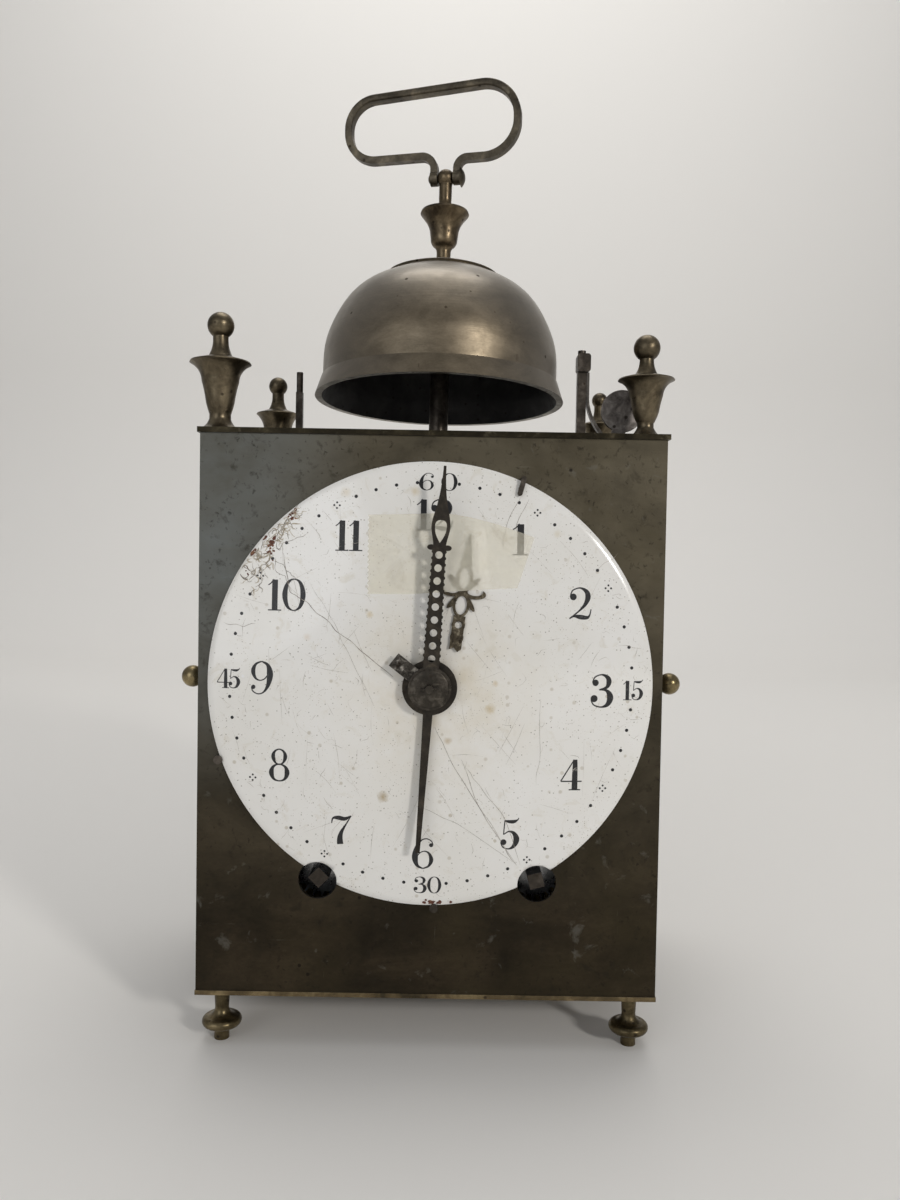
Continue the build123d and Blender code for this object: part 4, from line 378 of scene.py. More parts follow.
# The finials share most of their values; the left pair's feet were mended with a grey metal.
turnedBrass = dict(
    tones=((0.045, 0.036, 0.022), (0.125, 0.10, 0.064), (0.25, 0.205, 0.13)),
    roughness=(0.26, 0.46), cloud=130, grain=1000, turning=0.03,
    flecks=[(260, (1, 1, 1), 0.60, 0.74, (0.05, 0.035, 0.022), 0.6)])
metals = {
    "caseBrass": dict(
        tones=((0.018, 0.014, 0.008), (0.032, 0.024, 0.014), (0.055, 0.041, 0.024)),
        roughness=(0.36, 0.54), cloud=38, grain=700,
        stretch=(1, 1, 1.6), pits=0.02, pitColor=(0.014, 0.010, 0.007), bump=0.012, metallic=0.85,
        # Painted reflection: the first tint makes the case paler towards the top; the second makes its upper
        # left paler and greyer.
        tints=[([("Z", 35, 150)], (0.140, 0.122, 0.085), 1.25),
               ([("Z", 70, 130), ("X", -18, -58)], (0.150, 0.160, 0.155), 1.5)],
        flecks=[(16, (1, 1, 1), 0.50, 0.72, (0.060, 0.048, 0.024), 0.5),
                (230, (1, 1, 1), 0.58, 0.70, (0.022, 0.018, 0.012), 0.6),
                (620, (1, 1, 1), 0.60, 0.70, (0.014, 0.011, 0.008), 0.6),
                (150, (1, 1, 1), 0.62, 0.72, (0.16, 0.155, 0.135), 0.45),
                (60, (1, 1, 24), 0.70, 0.78, (0.20, 0.185, 0.14), 0.5),
                (60, (24, 1, 1.4), 0.70, 0.78, (0.18, 0.165, 0.125), 0.4)]),
    "plateBrass": dict(
        tones=((0.016, 0.013, 0.008), (0.038, 0.031, 0.018), (0.10, 0.082, 0.048)),
        roughness=(0.30, 0.46), cloud=90, grain=800,
        pits=0.08, flecks=[(300, (1, 1, 1), 0.60, 0.70, (0.14, 0.12, 0.08), 0.6)]),
    # Worn edge brass with a painted highlight, for the plates' upward-slanting edge faces.
    "plateEdgeWearAndHighlight": dict(
        tones=((0.16, 0.14, 0.10), (0.34, 0.30, 0.215), (0.60, 0.54, 0.40)),
        roughness=(0.24, 0.4), cloud=120, grain=900, pits=0.1),
    "edgeBrass": dict(
        tones=((0.06, 0.048, 0.028), (0.16, 0.12, 0.065), (0.36, 0.28, 0.15)),
        roughness=(0.28, 0.5), cloud=120, grain=900),
    "knobBrass": dict(
        tones=((0.09, 0.07, 0.036), (0.24, 0.19, 0.10), (0.42, 0.34, 0.19)),
        roughness=(0.22, 0.42), cloud=140, grain=1100, turning=0.02),
    "footBrass": dict(
        tones=((0.045, 0.035, 0.018), (0.13, 0.102, 0.055), (0.27, 0.215, 0.12)),
        roughness=(0.26, 0.46), cloud=140, grain=1100, turning=0.02),
    "finialBrass": turnedBrass,
    "warmBrass": dict(turnedBrass, tones=((0.045, 0.033, 0.020), (0.135, 0.102, 0.062), (0.27, 0.21, 0.13))),
    "mendedBrass": dict(turnedBrass, tints=[([("Z", 168.5, 165.5)], (0.12, 0.12, 0.118), 1.9)]),
    "bellBronze": dict(
        tones=((0.118, 0.097, 0.068), (0.195, 0.160, 0.113), (0.27, 0.224, 0.160)),
        roughness=(0.34, 0.5), cloud=60, grain=1200,
        stretch=(1, 1, 2), pits=0.07, pitColor=(0.05, 0.037, 0.025), bump=0.012, metallic=0.95,
        # The pale colour below is mixed in where the bronze turns away from the camera: a painted sheen.
        turning=0.02, grazingSheen=(0.34, 0.315, 0.28),
        # Painted shade: the tint darkens the bell towards its crown.
        tints=[([("Z", 218, 236)], (0.11, 0.10, 0.082), 1.2)],
        flecks=[(120, (1, 1, 0.7), 0.66, 0.72, (0.085, 0.058, 0.036), 0.75),
                (330, (1, 1, 0.6), 0.68, 0.74, (0.06, 0.044, 0.030), 0.6),
                (70, (0.4, 0.4, 16), 0.66, 0.78, (0.30, 0.265, 0.21), 0.35)]),
    # Painted highlight on the band's top and the crown's side.
    "bellEdgeHighlight": dict(
        tones=((0.22, 0.19, 0.145), (0.38, 0.335, 0.26), (0.55, 0.49, 0.39)),
        roughness=(0.28, 0.4), cloud=90, grain=1100, pits=0.05),
    # Painted shade for the bell's hollow.
    "bellHollowShade": dict(
        tones=((0.030, 0.030, 0.032), (0.050, 0.049, 0.050), (0.080, 0.077, 0.074)),
        roughness=(0.5, 0.7), cloud=90, grain=900, metallic=0.25),
    # Painted highlight on the lip's underside.
    "bellLipHighlight": dict(
        tones=((0.13, 0.12, 0.10), (0.30, 0.275, 0.23), (0.50, 0.46, 0.39)),
        roughness=(0.3, 0.5), cloud=160, grain=1100),
    "handleSteel": dict(
        tones=((0.040, 0.034, 0.025), (0.095, 0.080, 0.058), (0.19, 0.16, 0.11)),
        roughness=(0.30, 0.5), cloud=160, grain=1200),
    "hammerSteel": dict(
        tones=((0.030, 0.025, 0.020), (0.065, 0.055, 0.045), (0.14, 0.12, 0.10)),
        roughness=(0.32, 0.5), cloud=200, grain=1300),
    "springSteel": dict(
        tones=((0.055, 0.05, 0.045), (0.11, 0.10, 0.09), (0.20, 0.19, 0.17)),
        roughness=(0.3, 0.45), cloud=200, grain=1300),
    "leafBrass": dict(
        tones=((0.075, 0.066, 0.060), (0.20, 0.18, 0.165), (0.36, 0.33, 0.31)),
        roughness=(0.4, 0.6), cloud=320, grain=900, pits=0.5),
    "handSteel": dict(
        tones=((0.016, 0.013, 0.010), (0.032, 0.026, 0.019), (0.070, 0.056, 0.040)),
        roughness=(0.42, 0.6), cloud=260, grain=1500, metallic=0.6),
    "discSteel": dict(
        tones=((0.026, 0.022, 0.017), (0.050, 0.043, 0.034), (0.12, 0.105, 0.085)),
        roughness=(0.30, 0.5), cloud=420, grain=1500,
        metallic=0.75, flecks=[(210, (1, 1, 9), 0.62, 0.72, (0.19, 0.165, 0.13), 0.6),
                               (330, (3, 1, 1), 0.60, 0.72, (0.018, 0.013, 0.010), 0.7)]),
    "looseBrass": dict(
        tones=((0.032, 0.026, 0.018), (0.095, 0.078, 0.053), (0.34, 0.30, 0.22)),
        roughness=(0.35, 0.6), cloud=620, grain=1700, pits=0.4, bump=0.05),
    "stubBrass": dict(
        tones=((0.020, 0.018, 0.015), (0.075, 0.068, 0.058), (0.46, 0.43, 0.38)),
        roughness=(0.35, 0.6), cloud=820, grain=1900, pits=0.6, bump=0.08),
    "movementBrass": dict(
        tones=((0.30, 0.22, 0.10), (0.46, 0.35, 0.17), (0.58, 0.46, 0.25)),
        roughness=(0.22, 0.4), cloud=60, grain=900, pits=0.06),
    "arborSteel": dict(
        tones=((0.20, 0.20, 0.20), (0.33, 0.33, 0.33), (0.48, 0.48, 0.48)),
        roughness=(0.2, 0.38), cloud=120, grain=1200, pits=0.06),
}
finish = {name: oldMetal(name, **values) for name, values in metals.items()}
finish["enamel"] = glossyEnamel("enamel", (0.82, 0.812, 0.79))
print("stage: finishes made")


def plainMaterial(name, color, roughness, wear):
    # One colour, with clouds of another: wear is (scale, colour, low, high).
    material, tree, shader = startMaterial(name, color, 0.0, roughness)
    scale, other, low, high = wear
    share = mapValue(tree, noiseValue(tree, scale, 5, 0.65), low, high)
    feed(tree, shader, {"Base Color": mixColor(tree, share, color, other)})
    return material


for name, color, roughness, wear in (
    ("ink", (0.012, 0.012, 0.014), 0.30, (900, (0.10, 0.10, 0.10), 0.58, 0.75)),
    ("crackLine", (0.16, 0.13, 0.10), 0.6, (400, (0.45, 0.42, 0.37), 0.45, 0.6)),
    ("scratch", (0.34, 0.31, 0.27), 0.5, (300, (0.66, 0.63, 0.57), 0.45, 0.62)),
    ("rustSpot", (0.10, 0.030, 0.018), 0.6, (700, (0.26, 0.13, 0.07), 0.5, 0.62)),
    ("beigeLine", (0.40, 0.34, 0.25), 0.55, (500, (0.60, 0.56, 0.48), 0.45, 0.62)),
):
    finish[name] = plainMaterial(name, color, roughness, wear)


# Floor, wall and light
stageSettings = {
    "paleColor": (0.80, 0.785, 0.76),
    # Y of the wall and of the floor's front edge, half the width, the height and the bend's radius, in metres
    "wallBehind": 1.5, "floorFront": -3.0, "halfWidth": 4.0, "wallHeight": 3.5, "bend": 0.5,
    "bendSteps": 8,
    "skyColor": (0.92, 0.93, 0.95), "skyStrength": 0.29,
}
clockMiddle = (0, 0, 0.14)
lamps = (
    # name, place, target, size, power, colour
    ("keyLamp", (0.95, -1.25, 0.62), clockMiddle, 0.2, 9.0, (1, 0.97, 0.93)),
    ("fillLamp", (-0.8, -1.35, 0.5), clockMiddle, 1.1, 3.8, (0.95, 0.97, 1)),
    ("topLamp", (0.2, -0.3, 1.7), clockMiddle, 1.0, 1.7, (1, 1, 1)),
    ("wallLamp", (0.0, 0.55, 1.9), (0, 1.5, 0.5), 1.4, 15.0, (1, 0.985, 0.96)),
)


def makeStage():
    # A floor that bends up into a wall, and the room's soft light.
    bm = bmesh.new()
    wide, back, bend = (stageSettings[key] for key in ("halfWidth", "wallBehind", "bend"))
    line = [(stageSettings["floorFront"], 0.0), (back - bend, 0.0)]
    for step in range(1, stageSettings["bendSteps"] + 1):
        turn = math.radians(step * 90 / stageSettings["bendSteps"])
        line.append((back - bend + bend * math.sin(turn), bend - bend * math.cos(turn)))
    line.append((back, stageSettings["wallHeight"]))
    rows = [[bm.verts.new((side * wide, y, z)) for side in (-1, 1)] for y, z in line]
    for low, high in zip(rows, rows[1:]):
        bm.faces.new((low[0], low[1], high[1], high[0]))
    material, tree, shader = startMaterial("paleStage", stageSettings["paleColor"], 0, 0.9)
    feed(tree, shader, {"Specular IOR Level": 0.1})
    floor = linkMesh("paleStage", bm, material, 60)
    world = bpy.data.worlds.new("softRoom")
    bpy.context.scene.world = world
    world.use_nodes = True
    sky = world.node_tree.nodes["Background"]
    feed(world.node_tree, sky, {
        "Color": (*stageSettings["skyColor"], 1), "Strength": stageSettings["skyStrength"]})


def areaLight(name, place, target, size, power, color):
    lamp = bpy.data.lights.new(name, "AREA")
    lamp.shape = "DISK"
    lamp.size = size
    lamp.energy = power
    lamp.color = color
    holder = added(name, lamp)
    holder.location = place
    holder.rotation_euler = (Vector(target) - Vector(place)).to_track_quat("-Z", "Y").to_euler()


makeStage()
for lamp in lamps:
    areaLight(*lamp)
print("stage: camera, floor and lights")


# The case
for node, kind, edge in (
    ("front_panel", "caseBrass", 0.12),
    ("left_door", "caseBrass", 0.15), ("right_door", "caseBrass", 0.15), ("rear_door", "caseBrass", 0.15),
    ("strike_hammer_arm", "hammerSteel", 0.2), ("strike_hammer_head", "hammerSteel", 0.0),
    ("alarm_hammer_arm", "hammerSteel", 0.2), ("repeat_lever", "leafBrass", 0.25),
    ("hour_hand_stub", "stubBrass", 0.12),
):
    dress(node, finish[kind], "worn_" + node, edge)

for node, kind in (
    ("left_door_knob", "knobBrass"), ("right_door_knob", "knobBrass"), ("rear_door_knob", "knobBrass"),
    ("bell_finial", "warmBrass"), ("handle", "handleSteel"), ("handle_pin", "handleSteel"),
    ("bell_post", "hammerSteel"), ("dial_pins", "hammerSteel"),
    ("foot_front_left", "footBrass"), ("foot_front_right", "footBrass"),
    ("foot_rear_left", "footBrass"), ("foot_rear_right", "footBrass"),
    ("finial_front_left", "mendedBrass"), ("finial_front_right", "finialBrass"),
    ("finial_rear_left", "mendedBrass"), ("finial_rear_right", "finialBrass"),
    ("pendulum_bob", "movementBrass"), ("alarm_hand", "handSteel"),
    ("minute_hand", "handSteel"), ("loose_hour_hand", "looseBrass"),
):
    dress(node, finish[kind], "worn_" + node)


# The blade spring stands in the top plate and leans on the hammer's arm.
bladeSpring = wornCopy("hammer_blade_spring", finish["springSteel"], "worn_hammer_blade_spring")
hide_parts("hammer_blade_spring")
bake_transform(bladeSpring)


def dressInParts(node, kinds, choose, edge=0.0):
    # A worn copy whose faces take one of several finishes: choose gives the number of a face's finish.
    piece = dress(node, finish[kinds[0]], "worn_" + node, edge)
    for kind in kinds[1:]:
        piece.data.materials.append(finish[kind])
    for polygon in piece.data.polygons:
        polygon.material_index = choose(polygon)


bellLow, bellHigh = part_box("bell")
bellMarks = {"mouth": 1.5, "lip": 5, "crown": 5, "crownRadius": 15.5, "band": 20}   # mm
bellMouth = Vector(((bellLow.x + bellHigh.x) / 2, (bellLow.y + bellHigh.y) / 2,
                    bellLow.z + bellMarks["mouth"] * mm))


def bellFinish(polygon):
    # The outside is bronze; the hollow is painted dark as shade, and the lip's underside, the band's top and
    # the crown's side are painted paler as highlights.
    slope, height = polygon.normal.z, polygon.center.z
    if slope < -0.8 and height < bellLow.z + bellMarks["lip"] * mm:
        return 2
    if height > bellHigh.z - bellMarks["crown"] * mm:
        if slope > 0:
            return 0
        if math.hypot(*(polygon.center - bellMouth).xy) > bellMarks["crownRadius"] * mm:
            return 3
    if polygon.normal.dot(polygon.center - bellMouth) < 0:
        return 1
    return 3 if slope > 0.7 and height < bellLow.z + bellMarks["band"] * mm else 0


dressInParts("bell", ("bellBronze", "bellHollowShade", "bellLipHighlight", "bellEdgeHighlight"), bellFinish)
# Upward-slanting edge faces of the plates take the pale edge finish: worn brass and a painted highlight.
for node, kinds in (("top_plate", ("plateBrass", "plateEdgeWearAndHighlight")), ("base_plate", ("edgeBrass", "plateEdgeWearAndHighlight"))):
    dressInParts(node, kinds, lambda face: int(0.3 < face.normal.z < 0.95), 0.3)
# The arbors' ends are dark where they show at the dial.
dressInParts("centre_wheel", ("movementBrass", "discSteel"),
             lambda face: int(face.center.y < frontY - 2 * mm))
for node in ("going_winding_arbor", "strike_winding_arbor"):
    dressInParts(node, ("arborSteel", "hammerSteel"), lambda face: int(face.center.y < frontY + 4 * mm))
print("stage: case, bell, handle and hammers")

# Pieces that keep their CAD mesh are brass, except these.
ownFinish = dict.fromkeys(
    ("cannon_pinion", "going_click", "strike_click", "anchor", "pendulum_rod"), "arborSteel")
ownFinish.update(corner_posts="caseBrass", door_hinge_pins="hammerSteel")
for name, node in nodes.items():
    if not node.hide_render:
        node.data.materials.clear()
        node.data.materials.append(finish[ownFinish.get(name, "movementBrass")])


# The dial
def turnedRings(bm, profile, around):
    # Rings of vertices round the dial's axis: the profile's points are (radius in mm, Y in metres).
    turns = [2 * math.pi * k / around for k in range(around)]
    return [
        [bm.verts.new((radius * mm * math.sin(turn), y, dialZ + radius * mm * math.cos(turn)))
         for turn in turns]
        for radius, y in profile
    ]


def joinRings(bm, rings):
    for first, second in zip(rings, rings[1:]):
        for k in range(len(first)):
            after = (k + 1) % len(first)
            bm.faces.new((first[k], first[after], second[after], second[k]))


def keyHoleCutter():
    bm = bmesh.new()
    radius = dialSizes["keyHole"] * mm
    for side in (-1, 1):
        place = (side * dialSizes["keySpread"] * mm, frontY, dialSizes["keyHeight"] * mm)
        turned = Matrix.Translation(place) @ Matrix.Rotation(math.pi / 2, 4, "X")
        bmesh.ops.create_cone(
            bm, cap_ends=True, segments=48, radius1=radius, radius2=radius, depth=30 * mm, matrix=turned)
    return linkMesh("keyHoleCutter", bm, finish["enamel"])


def makeDial():
    # A domed ring of enamel with its back, cut out for the winding squares.
    shape = dialSizes
    radius, hole, spans, backSpans = (shape[key] for key in ("radius", "hole", "spans", "backSpans"))
    steps = [hole + (radius - hole) * (1 - (1 - i / spans) ** 1.3) for i in range(spans + 1)]
    profile = [(step, dialY(step)) for step in steps]
    backRadius = radius - shape["backInset"]
    profile += [(radius, frontY), (backRadius, frontY)]
    for i in range(backSpans):
        step = backRadius + (hole - backRadius) * (i + 1) / backSpans
        profile.append((step, min(dialY(step) + shape["thickness"] * mm, frontY)))
    bm = bmesh.new()
    rings = turnedRings(bm, profile, shape["around"])
    joinRings(bm, rings + rings[:1])
    bmesh.ops.recalc_face_normals(bm, faces=bm.faces)
    dial = linkMesh("enamelDial", bm, finish["enamel"], 40)
    cutter = keyHoleCutter()
    cut = dial.modifiers.new("keyHoles", "BOOLEAN")
    cut.object = cutter
    cut.solver = "EXACT"
    applied(dial)
    bpy.data.objects.remove(cutter)
    settle(dial, "dial")


makeDial()

# Each stroke is a line of (x, y, width) in shares of the figure's height; a ball is (x, y, radius).
figureStrokes = {
    "0": ([
        ("ring", [(0, .985, .035), (.2, .86, .10), (.285, .5, .165), (.2, .14, .10), (0, .015, .035),
            (-.2, .14, .10), (-.285, .5, .165), (-.2, .86, .10)]),
    ], []),
    "1": ([
        ("line", [(0, .03, .18), (0, .5, .18), (0, .96, .18)]),
        ("line", [(-.21, .79, .035), (-.12, .86, .035), (-.03, .97, .04)]),
        ("line", [(-.21, .018, .036), (.21, .018, .036)]),
    ], []),
    "2": ([
        ("line", [(-.32, .70, .035), (-.25, .89, .04), (-.02, .975, .045), (.18, .87, .13),
            (.235, .69, .17), (.15, .47, .11), (-.02, .28, .055), (-.2, .13, .04), (-.34, .02, .035)]),
        ("line", [(-.34, .02, .035), (-.2, .10, .07), (0, .075, .14), (.2, .06, .11), (.29, .13, .05),
            (.335, .32, .03)]),
    ], [(-.225, .695, .105)]),
    "3": ([
        ("line", [(-.29, .74, .035), (-.22, .90, .04), (-.02, .975, .045), (.15, .9, .12),
            (.20, .76, .155), (.13, .6, .09), (-.09, .53, .035)]),
        ("line", [(-.09, .53, .035), (.1, .52, .07), (.21, .42, .15), (.245, .27, .185), (.16, .09, .12),
            (-.02, .02, .045), (-.24, .08, .04), (-.33, .24, .035)]),
    ], [(-.2, .735, .095), (-.235, .27, .105)]),
    "4": ([
        ("line", [(.07, .97, .035), (-.14, .62, .037), (-.34, .29, .04)]),
        ("line", [(-.34, .285, .04), (.32, .285, .04)]),
        ("line", [(.1, .03, .18), (.1, .5, .17), (.1, .97, .14)]),
        ("line", [(-.08, .018, .036), (.28, .018, .036)]),
    ], []),
    "5": ([
        ("line", [(-.19, .93, .04), (-.05, .90, .10), (.1, .90, .11), (.22, .96, .04), (.25, 1.02, .03)]),
        ("line", [(-.18, .94, .035), (-.2, .7, .035), (-.215, .48, .035)]),
        ("line", [(-.215, .48, .035), (-.06, .58, .045), (.1, .53, .11), (.19, .33, .185),
            (.11, .11, .12), (-.05, .02, .045), (-.22, .07, .04), (-.30, .22, .035)]),
    ], [(-.215, .235, .095)]),
    "7": ([
        ("line", [(-.31, .72, .03), (-.27, .88, .06), (-.1, .90, .13), (.1, .87, .12), (.30, .97, .03)]),
        ("line", [(.30, .97, .03), (.13, .68, .05), (0, .45, .11), (-.05, .25, .17), (-.04, .05, .2)]),
    ], []),
    "8": ([
        ("ring", [(0, .985, .04), (.14, .91, .07), (.185, .75, .12), (.12, .58, .06), (0, .52, .04),
            (-.12, .58, .06), (-.185, .75, .12), (-.14, .91, .07)]),
        ("ring", [(0, .53, .04), (.18, .45, .08), (.24, .27, .15), (.17, .08, .08), (0, .015, .04),
            (-.17, .08, .08), (-.24, .27, .15), (-.18, .45, .08)]),
    ], []),
    "9": ([
        ("line", [(0, .985, .04), (.18, .88, .10), (.25, .62, .19), (.2, .3, .12), (.07, .08, .05),
            (-.1, .015, .035), (-.26, .09, .035), (-.31, .22, .03)]),
        ("line", [(0, .985, .04), (-.18, .90, .07), (-.26, .70, .13), (-.19, .49, .07),
            (-.05, .42, .035), (.09, .47, .035), (.17, .57, .03)]),
    ], [(-.25, .22, .065)]),
}
numberPlaces = [
    # figures, place from the dial's centre in mm, height, distance between figures in heights, width
    ("12", (0.0, 47.25), 8.9, 0.56, 1.0), ("1", (24.3, 40.9), 8.9, 0, 1.15),
    ("2", (41.1, 23.5), 8.9, 0, 1.0), ("3", (47.6, -0.6), 9.4, 0, 1.0),
    ("4", (39.65, -24.0), 8.9, 0, 1.0), ("5", (23.0, -40.9), 8.9, 0, 1.0),
    ("6", (-1.2, -46.8), 8.9, 0, 1.0), ("7", (-23.9, -40.6), 8.9, 0, 1.0),
    ("8", (-41.4, -22.7), 9.2, 0, 1.0), ("9", (-46.5, 1.5), 9.3, 0, 1.0),
    ("10", (-40.5, 24.55), 8.9, 0.60, 1.0), ("11", (-22.9, 41.2), 8.7, 0.44, 1.0),
    ("60", (1.3, 56.3), 4.9, 1.28, 1.25), ("15", (56.2, -0.4), 5.6, 0.52, 1.0),
    ("30", (0.1, -55.9), 4.9, 0.80, 1.1), ("45", (-55.7, 1.1), 5.6, 0.56, 1.0),
]

# How far the ink lies off the enamel, in mm; each further stroke of a figure lies a layer higher.
inkLift = {"stroke": 0.02, "layer": 0.004, "ball": 0.036, "dot": 0.025}


def inkStroke(bm, line, place, closed):
    # A printed stroke on the enamel, as wide at each point as the line says.
    count = len(line)
    pairs = []
    for i, (x, y, width) in enumerate(line):
        before = line[(i - 1) % count] if closed or i else line[0]
        after = line[(i + 1) % count] if closed or i < count - 1 else line[-1]
        along = Vector((after[0] - before[0], after[1] - before[1])).normalized()
        side = Vector((-along.y, along.x)) * width / 2
        pairs.append([bm.verts.new(place(x + way * side.x, y + way * side.y)) for way in (1, -1)])
    ends = pairs[1:] + ([pairs[0]] if closed else [])
    for (a, b), (c, d) in zip(pairs, ends):
        bm.faces.new((a, b, d, c))


def inkDisc(bm, place, x, y, radius, corners):
    turns = [2 * math.pi * k / corners for k in range(corners)]
    bm.faces.new([
        bm.verts.new(place(x + radius * math.cos(turn), y + radius * math.sin(turn))) for turn in turns
    ])


def turnToFront(bm):
    for face in bm.faces:
        face.normal_update()
        if face.normal.y > 0:
            face.normal_flip()


def layOnDial(piece):
    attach(piece, bodyOf["dial"])


def makeNumbers():
    bm = bmesh.new()
    for text, (cx, cz), height, pitch, wide in numberPlaces:
        for index, figure in enumerate(text):
            offset = (index - (len(text) - 1) / 2) * pitch * height
            turned = figure == "6"
            strokes, balls = figureStrokes["9" if turned else figure]

            def place(px, py, lift):
                if turned:
                    px, py = -px, 1 - py
                return onDial(cx + offset + px * height * wide, cz + (py - 0.5) * height, lift)

            for layer, (kind, points) in enumerate(strokes):
                lift = inkLift["stroke"] + inkLift["layer"] * layer
                line = throughPoints(points, 6, kind == "ring")
                inkStroke(bm, line, lambda px, py: place(px, py, lift), kind == "ring")
            for bx, by, radius in balls:
                inkDisc(bm, lambda px, py: place(px, py, inkLift["ball"]), bx, by, radius, 16)
    turnToFront(bm)
    layOnDial(linkMesh("dialFigures", bm, finish["ink"], 60))


makeNumbers()

# The minute dots: one small tree sets a ring of dots and the clusters at the five minute places.
dotSettings = {
    # The first row's names are those of the tree's inputs; lengths in mm.
    "Ring Radius": 55.9, "Dot Radius": 0.47, "Small Dot": 0.29, "Cluster Radius": 0.78,
    # The hand-set ring is turned a little, more on its left, and its centre is off the dial's (degrees, mm).
    "turn": 1.0, "sway": 0.7, "swayAt": 290, "centre": (0.2, 0.28),
    "loneDots": [(1.9, 52.6), (52.5, -1.6), (-51.8, 1.8)], "loneRadius": 0.42,
}


def dotTree():
    tree = bpy.data.node_groups.new("minuteDots", "GeometryNodeTree")
    for label in ("Ring Radius", "Dot Radius", "Small Dot", "Cluster Radius"):
        tree.interface.new_socket(label, in_out="INPUT", socket_type="NodeSocketFloat")
    tree.interface.new_socket("Ink", in_out="INPUT", socket_type="NodeSocketMaterial")
    tree.interface.new_socket("Geometry", in_out="OUTPUT", socket_type="NodeSocketGeometry")
    source, out = tree.nodes.new("NodeGroupInput"), tree.nodes.new("NodeGroupOutput")

    def circle(vertices, radius, filled):
        inputs = {"Vertices": vertices, "Radius": source.outputs[radius]}
        node = addNode(tree, "GeometryNodeMeshCircle", inputs)
        node.fill_type = "NGON" if filled else "NONE"
        return node.outputs["Mesh"]

    def everyNth(nth):
        index = tree.nodes.new("GeometryNodeInputIndex")
        return mathValue(tree, "LESS_THAN", mathValue(tree, "MODULO", index.outputs[0], nth), 0.5)

    def instances(points, shape):
        put = addNode(tree, "GeometryNodeInstanceOnPoints", {"Points": points, "Instance": shape})
        return put.outputs["Instances"]

    def placed(points, skip, shape):
        drop = addNode(tree, "GeometryNodeDeleteGeometry", {"Geometry": points, "Selection": everyNth(skip)})
        drop.domain = "POINT"
        return instances(drop.outputs["Geometry"], shape)

    cluster = instances(circle(4, "Cluster Radius", False), circle(10, "Small Dot", True))
    minutes = placed(circle(60, "Ring Radius", False), 5, circle(14, "Dot Radius", True))
    join = addNode(tree, "GeometryNodeJoinGeometry", {0: minutes})
    feed(tree, join, {0: placed(circle(12, "Ring Radius", False), 3, cluster)})
    real = addNode(tree, "GeometryNodeRealizeInstances", {0: join.outputs[0]})
    ink = addNode(tree, "GeometryNodeSetMaterial", {
        "Geometry": real.outputs[0], "Material": source.outputs["Ink"]})
    feed(tree, out, {0: ink.outputs[0]})
    return tree


def makeDots():
    holder = added("minuteDots", bpy.data.meshes.new("minuteDots"))
    tree = dotTree()
    modifier = holder.modifiers.new("dots", "NODES")
    modifier.node_group = tree
    for item in tree.interface.items_tree:
        if item.in_out == "INPUT":
            modifier[item.identifier] = dotSettings.get(item.name, finish["ink"])
    applied(holder)
    bm = bmesh.new()
    bm.from_mesh(holder.data)
    swayAt = math.radians(dotSettings["swayAt"])
    offX, offZ = dotSettings["centre"]
    for vertex in bm.verts:
        x, z = vertex.co.x, vertex.co.y
        sway = dotSettings["sway"] * math.cos(math.atan2(x, z) - swayAt)
        turn = math.radians(dotSettings["turn"] + sway)
        px, pz = x * math.cos(turn) + z * math.sin(turn), z * math.cos(turn) - x * math.sin(turn)
        vertex.co = onDial(px + offX, pz + offZ, inkLift["dot"])
    for px, pz in dotSettings["loneDots"]:
        inkDisc(bm, lambda x, z: onDial(x, z, inkLift["dot"]), px, pz, dotSettings["loneRadius"], 14)
    turnToFront(bm)
    bm.to_mesh(holder.data)
    bm.free()
    layOnDial(holder)


makeDots()

